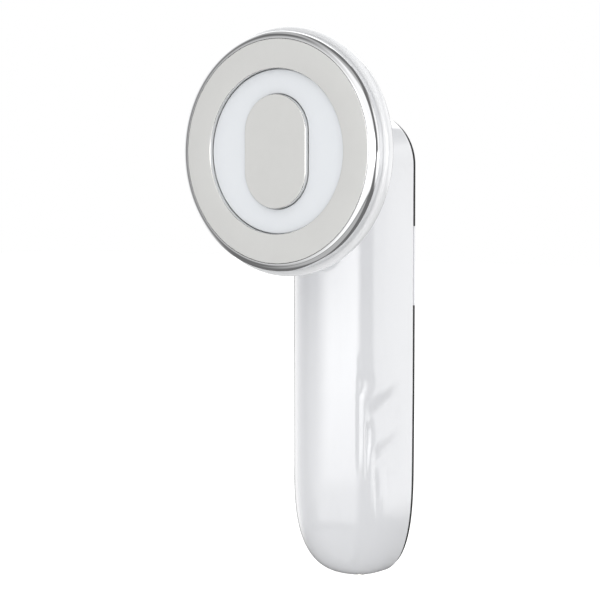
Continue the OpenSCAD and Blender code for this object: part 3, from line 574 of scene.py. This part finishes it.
keys = []
for name, node, body, z in (
        ("levelKey", "level_button", "level_key", band["keyZ"][0]),
        ("powerKey", "power_button", "power_key", band["keyZ"][1])):
    piece = turnedPiece(name, keyCorners(), key["cuts"], key["steps"], 5, x=0.0, y=0.0, z=z)
    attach(piece, body)
    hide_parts(node)
    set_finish(piece, "button_white")
    keys.append(piece)


# The head: depths are measured from the treatment face towards the back

print("head")
head = {
    "faceRadius": span("ring_electrode", 0)[1], "windowRadius": 22.05, "ovalWidth": 20.3, "ovalHeight": 30.6,
    "plate": 0.9, "seat": 2.9, "skirt": 0.8, "flange": 0.5, "steps": 360,
    "ringCuts": [0.32, 0.3, 0, 0, 0.2, 0.2, 0, 0],
}
rim = {
    "inner": 30.05, "outer": span("chrome_bezel", 0)[1], "sink": 0.1, "round": 1.6, "length": 4.2,
    "turnIn": [(0, 0.25), (0.08, 0.06), (0.3, 0)],      # in from the side, before the end
    "skirt": 30.95, "skirtLength": 1.6, "crestSteps": 25,
}


def bezelProfile():
    # Crest: a quarter ellipse from the inner edge out to the side; then the side, its turned-in end and
    # the skirt
    turn = np.linspace(0, np.pi / 2, rim["crestSteps"])
    inner, side, end = rim["inner"], rim["outer"], rim["length"]
    across, depth = inner + (side - inner) * np.sin(turn), rim["sink"] + rim["round"] * (1 - np.cos(turn))
    turnIn = [(side - inset, end - before) for inset, before in rim["turnIn"]]
    back = end + rim["skirtLength"]
    skirt = [(rim["skirt"], end), (rim["skirt"], back), (inner, back)]
    return np.concatenate([np.stack([across, depth], -1), turnIn, skirt])


bezel = makePiece("chromeBezel", [(lathe(bezelProfile(), head["steps"]), True, True)], sharp=50)
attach(bezel, "handle")
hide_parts("chrome_bezel")
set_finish(bezel, "bright_chrome")


def ringCorners():
    # A flat plate with a skirt down its outer side and a shorter one down its inner side
    outer, inner, skirt = head["faceRadius"], head["windowRadius"], head["skirt"]
    plate, seat, innerSeat = head["plate"], head["seat"], head["seat"] - head["flange"]
    return [
        (inner, 0), (outer, 0), (outer, seat), (outer - skirt, seat), (outer - skirt, plate),
        (inner + skirt, plate), (inner + skirt, innerSeat), (inner, innerSeat)]


ring = turnedPiece("ringElectrode", ringCorners(), head["ringCuts"], head["steps"])
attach(ring, "handle")
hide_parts("ring_electrode")
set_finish(ring, "satin_metal")


def ovalRing(width, height, inset, steps=288):
    # Polar points of an upright oval: |x| = w/2 on its straight sides, circles round (0, +-c) at its ends;
    # inset moves each point in along the outline's own normal
    turn = np.linspace(0, 2 * np.pi, steps, endpoint=False)
    c, s = np.cos(turn), np.sin(turn)
    half, centre = width / 2, (height - width) / 2
    end = centre * np.abs(s) + np.sqrt(np.maximum(half ** 2 - (centre * c) ** 2, 0))
    side = half / np.maximum(np.abs(c), 1e-6)
    straight = side * np.abs(s) <= centre
    radius = np.where(straight, side, end)
    points = np.stack([radius * c, radius * s], -1)
    sideNormal = np.stack([np.sign(c), 0 * s], -1)
    endNormal = (points - np.stack([0 * c, np.sign(s) * centre], -1)) / half
    return points - np.where(straight[:, None], sideNormal, endNormal) * inset


def inHead(outline, depth):
    # An outline in the head's own plane, placed at a depth behind the treatment face
    return np.stack([outline[:, 0], np.full(len(outline), faceY + depth), headZ + outline[:, 1]], -1)


def ovalRows():
    # The face in shares of the outline, its rounded edge, the side, and back in under the plate; each row is
    # the oval moved in by an inset and back by a depth
    width, height, seat, skirt = head["ovalWidth"], head["ovalHeight"], head["seat"], head["skirt"]
    flatInset, edgeCut = 0.36, 0.34
    edge = cornerCurves([(3.0, 0), (0, 0), (0, seat)], [0, edgeCut, 0])[1].tolist()
    profile = [(flatInset, 0.0)] + edge + [(0, seat), (skirt, seat), (skirt, head["plate"])]
    face = [inHead(ovalRing(width, height, flatInset) * share, 0) for share in (0, 0.3, 0.6, 0.85, 0.95)]
    rows = [inHead(ovalRing(width, height, inset), depth) for inset, depth in profile]
    under = inHead(ovalRing(width, height, skirt) * 0, head["plate"])
    return np.stack(face + rows + [under])


oval = makePiece("ovalElectrode", [(ovalRows(), False, True)])
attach(oval, "handle")
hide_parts("oval_electrode")
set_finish(oval, "satin_metal")

light = {
    "radius": 21.9, "flangeRadius": 23.4, "sink": 1.2, "edge": 0.15, "crown": 0.05, "lift": 0.02,
    "gap": 0.3,     # of the oval opening, across both sides
}


def lightRows():
    # Between the oval opening and the round edge each row is a share of the way from one outline to the
    # other, and stands up by 1 - (2 share - 1)^2 of the crown
    hole = ovalRing(head["ovalWidth"] + light["gap"], head["ovalHeight"] + light["gap"], 0)
    turn = np.arctan2(hole[:, 1], hole[:, 0])
    around = np.stack([np.cos(turn), np.sin(turn)], -1)
    sink, edge, seat = light["sink"], light["edge"], head["seat"]
    outer, flange = light["radius"] * around, light["flangeRadius"] * around
    rows = [inHead(hole, seat), inHead(hole, sink + edge)]
    for share in np.linspace(0, 1, 11):
        crown = light["crown"] * (1 - (2 * share - 1) ** 2)
        outline = (hole + around * edge) * (1 - share) + (outer - around * edge) * share
        rows.append(inHead(outline, sink - crown + light["lift"]))
    rows += [inHead(outer, sink + edge), inHead(outer, seat - head["flange"]),
             inHead(flange, seat - head["flange"]), inHead(flange, seat)]
    return np.stack(rows)


diffuser = makePiece("lightRing", [(lightRows(), True, True)])
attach(diffuser, "handle")
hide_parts("light_ring")
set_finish(diffuser, "milky_diffuser")

cup = {
    "corners": [(32.2, 4.2), (33.5, 4.35), (33.5, 7.2), (31.0, 8.3), (15.2, 12.3), (0, 12.3), (0, 10.3),
                (15.2, 10.3), (31.0, 6.14), (31.0, 4.2)],
    "cuts": [0.06, 0.95, 1.3, 1.2, 2.0, 0, 0, 1.0, 0, 0],
    "postSteps": 32, "posts": [
        {"turns": (90, 210, 330), "ring": 27.2, "depths": (4.3, 8.2), "outer": 1.7, "inner": 0.95},
        {"turns": (75, 195, 315), "ring": 22.6, "depths": (6.2, 9.4), "outer": 1.5, "inner": 0.0}],
}


def headPosts():
    # Posts inside the cup: a ring of tubes for the carrier's screws, and one of pins under the lamp board
    posts = []
    for size in cup["posts"]:
        low, high = (faceY + depth for depth in size["depths"])
        for turn in size["turns"]:
            x, z = onCircle(size["ring"], turn, headZ)
            posts.append(tube(x, z, low, high, size["outer"], size["inner"], cup["postSteps"]))
    return posts


housing = turnedPiece("headHousing", cup["corners"], cup["cuts"], head["steps"], 8, headPosts())
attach(housing, "handle")
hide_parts("head_housing")
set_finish(housing, "white_gloss")


# Materials: patterns are worked out from object coordinates in millimetres

class Wire:
    # One output of a node; Python's operators on it add Math nodes
    def __init__(self, nodes, socket):
        self.nodes, self.socket = nodes, socket

    def math(self, operation, *others):
        # This output goes first and the others follow
        return self.nodes.math(operation, self, *others)

    def __add__(self, other):
        return self.math("ADD", other)

    def __radd__(self, other):
        return self.nodes.math("ADD", other, self)

    def __sub__(self, other):
        return self.math("SUBTRACT", other)

    def __rsub__(self, other):
        return self.nodes.math("SUBTRACT", other, self)

    def __mul__(self, other):
        return self.math("MULTIPLY", other)

    def __rmul__(self, other):
        return self.nodes.math("MULTIPLY", other, self)

    def __truediv__(self, other):
        return self.math("DIVIDE", other)

    def __rtruediv__(self, other):
        return self.nodes.math("DIVIDE", other, self)

    def __neg__(self):
        return self.math("MULTIPLY", -1.0)

    def __abs__(self):
        return self.math("ABSOLUTE")

    def ease(self, low, high):
        # 0 below low, 1 above high, smooth between
        return self.nodes.add(
            "ShaderNodeMapRange", {"interpolation_type": "SMOOTHSTEP"}, {0: self, 1: low, 2: high})

    def below(self, limit, soft=0.03):
        # 1 below the limit and 0 above it, with a soft edge
        return 1 - self.ease(limit - soft, limit + soft)


class Nodes:
    # The node tree of a material or of the world
    def __init__(self, tree):
        self.tree = tree

    def add(self, kind, settings=None, inputs=None, output=0):
        node = self.tree.nodes.new(kind)
        for name, value in (settings or {}).items():
            setattr(node, name, value)
        for name, value in (inputs or {}).items():
            if isinstance(value, Wire):
                self.tree.links.new(value.socket, node.inputs[name])
            else:
                node.inputs[name].default_value = value
        return Wire(self, node.outputs[output])

    def math(self, operation, *values):
        return self.add("ShaderNodeMath", {"operation": operation}, dict(enumerate(values)))

    def mix(self, factor, first, second):
        # A colour between two colours
        first, second = (c if isinstance(c, Wire) else (*c, 1) for c in (first, second))
        return self.add("ShaderNodeMix", {"data_type": "RGBA"}, {0: factor, 6: first, 7: second}, 2)

    def grey(self, level):
        return self.add("ShaderNodeCombineColor", None, {0: level, 1: level, 2: level})

    def split(self, vector):
        # The three numbers of a vector
        node = self.tree.nodes.new("ShaderNodeSeparateXYZ")
        self.tree.links.new(vector.socket, node.inputs[0])
        return [Wire(self, output) for output in node.outputs]


def scaled(colour, share):
    return tuple(min(1.0, c * share) for c in colour)


class Finish(Nodes):
    # A material; values that are the same all over go straight on its shader's sockets
    def __init__(self, name, colour, roughness, **uniform):
        self.material = bpy.data.materials.new(name)
        self.material.use_nodes = True
        super().__init__(self.material.node_tree)
        self.shader = self.tree.nodes["Principled BSDF"]
        self.set("Base Color", (*colour, 1))
        self.set("Roughness", roughness)
        for name, value in uniform.items():
            words = name[0].upper() + "".join(" " + c if c.isupper() else c for c in name[1:])
            self.set(words.replace("Ior", "IOR"), value)
        self.place = None

    def set(self, name, value):
        if isinstance(value, Wire):
            self.tree.links.new(value.socket, self.shader.inputs[name])
        else:
            self.shader.inputs[name].default_value = value

    def where(self):
        # Object coordinates in millimetres
        if self.place is None:
            at, scale = self.add("ShaderNodeTexCoord", output="Object"), 1 / millimetre
            self.place = self.add("ShaderNodeMapping", None, {0: at, "Scale": (scale, scale, scale)})
        return self.place

    def noise(self, size, detail=2.0, roughness=0.5, stretch=None):
        # Soft noise with blobs of that size, 0 to 1
        place = self.where()
        if stretch:
            place = self.add("ShaderNodeVectorMath", {"operation": "MULTIPLY"}, {0: place, 1: stretch})
        return self.add("ShaderNodeTexNoise", None, {
            "Vector": place, "Scale": 1 / size, "Detail": detail, "Roughness": roughness})

    def axes(self):
        return self.split(self.where())

    def bump(self, height, depth):
        # depth is in millimetres for a height of 1
        self.set("Normal", self.add("ShaderNodeBump", None, {
            "Height": height, "Distance": depth * millimetre, "Strength": 1.0}))


def glossPlastic(name, colour, roughness=0.16, tone=0.02, peel=0.0012, **uniform):
    # Polished moulded plastic: faint cloudy tone, uneven polish and a very shallow ripple
    finish = Finish(name, colour, roughness, **uniform)
    finish.tone = finish.mix(finish.noise(26, 2), scaled(colour, 1 - tone), scaled(colour, 1 + tone))
    finish.set("Base Color", finish.tone)
    finish.set("Roughness", roughness * 0.8 + finish.noise(7, 3) * (roughness * 0.4))
    if peel:
        finish.bump(finish.noise(3.2, 1), peel)
    return finish


def mattePlastic(name, colour, roughness=0.55, grain=0.35, depth=0.01):
    # Moulded plastic with a spark-eroded grain and soft flow marks along the part
    finish = Finish(name, colour, roughness)
    flow = finish.noise(9, 2, 0.5, (1, 1, 0.3))
    grainy = finish.noise(grain, 3, 0.6)
    finish.set("Base Color", finish.mix(flow, scaled(colour, 0.96), scaled(colour, 1.04)))
    finish.set("Roughness", roughness - 0.06 + grainy * 0.12)
    finish.bump(grainy, depth)
    return finish


def satinMetal(name, colour, roughness, grain, depth):
    # Blasted metal: fine grain in height and colour, and an uneven polish
    finish = Finish(name, colour, roughness, metallic=1.0)
    fine = finish.noise(grain, 3, 0.6)
    tone = finish.noise(12, 2) * 0.7 + fine * 0.3
    finish.set("Base Color", finish.mix(tone, scaled(colour, 0.975), scaled(colour, 1.025)))
    finish.set("Roughness", roughness - 0.05 + finish.noise(4, 3) * 0.1)
    finish.bump(fine, depth)
    return finish


# collar: the handle's white raised as painted light for the head housing
white = {"colour": (0.785, 0.793, 0.815), "collar": (0.875, 0.882, 0.895), "tone": 0.006, "peel": 0.00015}


def shellPlastic():
    # Glossy white; the head housing is painted a little whiter than the handle, as painted light over the
    # shade that falls on it
    finish = glossPlastic("whiteGloss", white["colour"], 0.14, white["tone"], white["peel"],
                          coatWeight=1.0, coatRoughness=0.03, coatIor=1.6, ior=1.55)
    # Painted light: in front of the head's flat back the white is swapped for the brighter head colour
    onHandle = finish.axes()[1].ease(headBackY - 0.1, headBackY - 0.05)
    finish.set("Base Color", finish.mix(onHandle, white["collar"], finish.tone))
    return finish


def panelLacquer():
    # Black, and lacquered only on the panels' outer face, so that their thin sides stay dull
    finish = glossPlastic("blackGloss", (0.012, 0.012, 0.014), 0.4, 0.2, 0,
                          specularIorLevel=0.15, coatRoughness=0.02)
    finish.set("Coat Weight", finish.axes()[1].ease(panelY - 0.05, panelY - 0.01))
    return finish


electrode = {
    "colour": (0.8, 0.8, 0.788), "dull": (0.78, 0.78, 0.768), "bright": (0.82, 0.82, 0.808),
    "roughness": 0.77, "grain": 0.09, "grainDepth": 0.0016,
    "edge": (0.78, 0.78, 0.77), "edgeRoughness": 0.1, "edgeY": (faceY + 0.02, faceY + 0.07),
}


def electrodeMetal():
    # A blasted face with bright polished edges: everything behind the face plane is smooth
    look = electrode
    finish = Finish("satinMetal", look["colour"], look["roughness"], metallic=1.0)
    edge = finish.axes()[1].ease(*look["edgeY"])
    fine = finish.noise(look["grain"], 3, 0.6)
    face = finish.mix(finish.noise(12, 2) * 0.7 + fine * 0.3, look["dull"], look["bright"])
    finish.set("Base Color", finish.mix(edge, face, look["edge"]))
    rough = finish.noise(4, 3) * 0.1 + (look["roughness"] - 0.05)
    finish.set("Roughness", rough + edge * (look["edgeRoughness"] - rough))
    finish.bump(fine * (1 - edge), look["grainDepth"])
    return finish


def stripes(value, pitch, share):
    # 1 on bands that fill that share of each pitch, 0 between them
    return abs((value / pitch).math("FRACT") - 0.5).below(share / 2, 0.06)


icon = {
    "ring": 1.3, "line": 0.17, "gap": 0.5, "stem": (0.3, 1.9),
    "bars": ((1.15, 0.8), (0.0, 1.5), (-1.15, 2.2)), "bar": 0.27, "foot": -1.1,      # (x, height) of each bar
    "colour": (0.16, 0.17, 0.18), "topY": 12.7,
}


def keyPlastic():
    # Satin white with a grey ring-and-stem sign on one key and three rising bars on the other
    finish = glossPlastic("buttonWhite", (0.78, 0.785, 0.795), 0.3, 0.008, 0.0008,
                          coatWeight=0.6, coatRoughness=0.08)
    x, y, z = finish.axes()
    level, power = band["keyZ"]
    up, line = z - power, icon["line"]
    radius = (x * x + up * up).math("SQRT")
    notch = abs(x).below(icon["gap"]) * up.ease(0, 0.1)
    low, high = icon["stem"]
    stem = abs(x).below(line) * abs(up - (low + high) / 2).below((high - low) / 2)
    sign = abs(radius - icon["ring"]).below(line) * (1 - notch) + stem
    for across, height in icon["bars"]:
        bar = abs(z - (level + icon["foot"] + height / 2)).below(height / 2)
        sign = sign + abs(x - across).below(icon["bar"]) * bar
    sign = (sign * y.ease(icon["topY"], icon["topY"] + 0.05)).math("MINIMUM", 1.0)
    finish.set("Base Color", finish.mix(sign, finish.tone, icon["colour"]))
    return finish


def circuitBoard():
    # Green mask over copper tracks that run one way in some blocks and the other way in the rest
    finish = Finish("circuitBoard", (0.02, 0.13, 0.06), 0.35)
    x, y, z = finish.axes()
    block = finish.noise(5, 0).ease(0.46, 0.5)
    track = stripes(x, 0.9, 0.4) * block + stripes(z, 0.9, 0.4) * (1 - block)
    track = track * finish.noise(2.2, 1).ease(0.36, 0.42)
    finish.set("Base Color", finish.mix(track, (0.012, 0.10, 0.045), (0.04, 0.20, 0.08)))
    finish.set("Roughness", 0.3 + finish.noise(1.5, 2) * 0.15)
    finish.bump(track, 0.02)
    return finish


def flatCable():
    # Amber film with parallel copper lines under it
    finish = Finish("flatCable", (0.42, 0.2, 0.05), 0.3)
    lines = stripes(finish.axes()[0], 0.8, 0.55)
    finish.set("Base Color", finish.mix(lines, (0.42, 0.2, 0.045), (0.62, 0.33, 0.12)))
    finish.set("Roughness", 0.26 + finish.noise(2, 2) * 0.12)
    finish.bump(lines, 0.012)
    return finish


def sleevedCell():
    # A green shrink sleeve, slightly rippled, that leaves both steel ends bare
    finish = Finish("sleevedCell", (0.06, 0.32, 0.17), 0.3)
    z = finish.axes()[2]
    low, high = span("battery", 2)
    half = (high - low) / 2
    bare = abs(z - (low + high) / 2).ease(half - 0.25, half - 0.15)
    green = finish.mix(finish.noise(14, 2), (0.05, 0.29, 0.15), (0.07, 0.35, 0.19))
    finish.set("Base Color", finish.mix(bare, green, (0.6, 0.6, 0.59)))
    finish.set("Metallic", bare)
    finish.set("Roughness", 0.26 + finish.noise(3, 2, 0.5, (1, 1, 0.25)) * 0.14)
    finish.bump(finish.noise(2.4, 2, 0.5, (1, 1, 0.2)), 0.03)
    return finish


def windingCopper():
    # Enamelled wire laid turn by turn; its colour is painted darker between turns as painted shade and
    # lighter on each turn's crest as a painted highlight, beside the real ripple in height
    finish = Finish("windingCopper", (0.62, 0.27, 0.12), 0.28, metallic=1.0)
    wire = 0.28
    turnReliefAndShade = (finish.axes()[2] * (2 * math.pi / wire)).math("SINE")
    # Painted shade in the grooves between turns and a painted highlight on each turn's crest
    finish.set("Base Color", finish.mix(turnReliefAndShade * 0.5 + 0.5, (0.4, 0.15, 0.06), (0.72, 0.34, 0.16)))
    finish.set("Roughness", 0.22 + finish.noise(1, 2) * 0.12)
    finish.bump(turnReliefAndShade, 0.03)
    return finish


def turnedBrass():
    # Machined brass with fine rings round the motor's shaft
    finish = Finish("turnedBrass", (0.72, 0.53, 0.26), 0.3, metallic=1.0)
    ringPitch, shaftY = 0.12, middle("motor_shaft", 1)
    x, y, z = finish.axes()
    across = y - shaftY
    rings = ((x * x + across * across).math("SQRT") * (2 * math.pi / ringPitch)).math("SINE")
    finish.set("Base Color", finish.mix(finish.noise(2, 3), (0.69, 0.5, 0.24), (0.76, 0.57, 0.29)))
    finish.set("Roughness", 0.26 + finish.noise(0.8, 2) * 0.1)
    finish.bump(rings, 0.003)
    return finish


print("materials")
finishes = {
    "white_gloss": shellPlastic(),
    "black_gloss": panelLacquer(),
    "bright_chrome": glossPlastic("brightChrome", (0.88, 0.885, 0.895), 0.045, 0.004, 0, metallic=1.0),
    "satin_metal": electrodeMetal(),
    "milky_diffuser": glossPlastic("milkyDiffuser", (0.815, 0.84, 0.87), 0.35, 0.006, 0,
                                   coatWeight=0.4, coatRoughness=0.1),
    "button_white": keyPlastic(),
    "clear_lens": glossPlastic("clearLens", (0.72, 0.76, 0.8), 0.3, 0.012, 0.0008,
                               coatWeight=0.5, coatRoughness=0.08),
    "soft_seal": mattePlastic("softSeal", (0.55, 0.55, 0.56), 0.75, 0.2, 0.006),
    "inner_plastic": mattePlastic("innerPlastic", (0.7, 0.7, 0.68), 0.5),
    "chip_black": mattePlastic("chipBlack", (0.03, 0.03, 0.034), 0.6, 0.12, 0.006),
    "lamp_body": mattePlastic("lampBody", (0.82, 0.78, 0.58), 0.4, 0.15, 0.004),
    "lead_copper": glossPlastic("wireSleeve", (0.5, 0.03, 0.03), 0.4, 0.05, 0.004),
    "magnet": mattePlastic("sinteredMagnet", (0.09, 0.09, 0.1), 0.5, 0.1, 0.01),
    "screw_steel": satinMetal("screwSteel", (0.6, 0.61, 0.63), 0.32, 0.3, 0.004),
    "contact_brass": satinMetal("contactGold", (0.83, 0.64, 0.3), 0.24, 0.2, 0.002),
    "tab_metal": satinMetal("tabNickel", (0.68, 0.67, 0.64), 0.3, 0.4, 0.003),
    "motor_steel": satinMetal("motorSteel", (0.62, 0.62, 0.62), 0.34, 0.25, 0.003),
    "circuit_board": circuitBoard(),
    "flat_cable": flatCable(),
    "cell_can": sleevedCell(),
    "winding_copper": windingCopper(),
    "weight_brass": turnedBrass(),
}

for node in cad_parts.values():
    for holder in node.material_slots:
        holder.material = finishes[holder.material.name.split(".")[0]].material
for piece in [shell, neckPiece, *panels, rear, *keys, bezel, ring, oval, diffuser, housing]:
    piece.data.materials.clear()
    piece.data.materials.append(finishes[piece["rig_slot"]].material)


# Studio: camera, light and floor

view = {"azimuth": 36.0, "elevation": 3.8, "place": (288.56, -419.40, 67.30), "lens": 108.0, "sensor": 36.0}


def addCamera():
    turn, lift = math.radians(view["azimuth"]), math.radians(view["elevation"])
    camera = bpy.data.objects.new("camera", bpy.data.cameras.new("camera"))
    camera.data.lens, camera.data.sensor_width = view["lens"], view["sensor"]
    camera.location = [v * millimetre for v in view["place"]]
    camera.rotation_euler = (math.pi / 2 - lift, 0, turn)
    bpy.context.scene.collection.objects.link(camera)
    bpy.context.scene.camera = camera


# Light levels by direction, in degrees: azimuth from -Y towards +X, elevation above the horizon.
# Each light is a level, the azimuths where it starts and is full and where it falls off, and the same
# two pairs of elevations.
studio = {
    "plain": 0.17, "ambient": 0.51, "above": 1.2,
    "lights": {
        "front": (0.5, (-75, -30), (60, 80), (-95, -94), (-38, -30)),
        "ceiling": (0.5, (-175, -150), (90, 110), (44, 52), (62, 76)),
        "rear": (1.4, (-180, -179), (-130, -112), (8, 18), (66, 80)),
        "left": (1.15, (-136, -112), (-108, -58), (-30, -14), (36, 54)),
        "wall": (1.08, (126, 132), (176, 180), (-20, -8), (20, 32)),
        "back": (1.3, (126, 132), (176, 180), (-20, -8), (-4, 2)),
        "low": (1.3, (101, 109), (176, 180), (-21, -6), (-1.5, 1.5)),
        "veil": (0.62, (-68, -34), (62, 80), (-20, -8), (14, 34)),
        "skirt": (1.2, (-48, -14), (62, 80), (-33, -25), (-10, -6)),
        "upper": (1.1, (-38, 4), (62, 80), (-6, 4), (42, 56)),
        "box": (3.0, (-38, 4), (62, 80), (-13, -5), (9, 16)),
    },
}


def addWorld():
    # Glossy rays see the lights laid over each other in turn, diffuse rays an even sky that is a little
    # brighter above, and the camera white
    world = bpy.data.worlds.new("studio")
    world.use_nodes = True
    bpy.context.scene.world = world
    nodes = Nodes(world.node_tree)
    x, y, z = nodes.split(nodes.add("ShaderNodeTexCoord", output="Generated"))
    azimuth = x.math("ARCTAN2", -y) * (180 / math.pi)
    elevation = z.math("ARCSINE") * (180 / math.pi)
    level = studio["plain"]
    for light, left, right, low, high in studio["lights"].values():
        across = azimuth.ease(*left) * (1 - azimuth.ease(*right))
        mask = across * elevation.ease(*low) * (1 - elevation.ease(*high))
        level = level + mask * (light - level)
    sky = studio["ambient"] + z * studio["above"]
    level = sky + nodes.add("ShaderNodeLightPath", output="Is Glossy Ray") * (level - sky)
    level = level + nodes.add("ShaderNodeLightPath", output="Is Camera Ray") * (1 - level)
    world.node_tree.links.new(nodes.grey(level).socket, world.node_tree.nodes["Background"].inputs["Color"])


ground = {"z": -62.0, "reach": 2000.0, "grey": 0.78, "lift": 0.12}


def addFloor():
    # Pale floor: white to the camera, keeps the object's shadow, and not seen in glossy reflections
    r, z = ground["reach"] * millimetre, ground["z"] * millimetre
    mesh = bpy.data.meshes.new("floor")
    mesh.from_pydata([(-r, -r, z), (r, -r, z), (r, r, z), (-r, r, z)], [], [(0, 1, 2, 3)])
    floor = bpy.data.objects.new("floor", mesh)
    bpy.context.scene.collection.objects.link(floor)
    floor.visible_glossy = False
    paint = Finish("floor", (ground["grey"],) * 3, 1.0, specularIorLevel=0.0, emissionStrength=1.0)
    lift = paint.add("ShaderNodeLightPath", output="Is Camera Ray") * ground["lift"]
    paint.set("Base Color", paint.grey(lift + ground["grey"]))
    paint.set("Emission Color", paint.grey(lift))
    floor.data.materials.append(paint.material)


print("studio")
addCamera()
addWorld()
addFloor()
scene = bpy.context.scene
scene.view_settings.view_transform = "Standard"

bpy.context.view_layer.update()
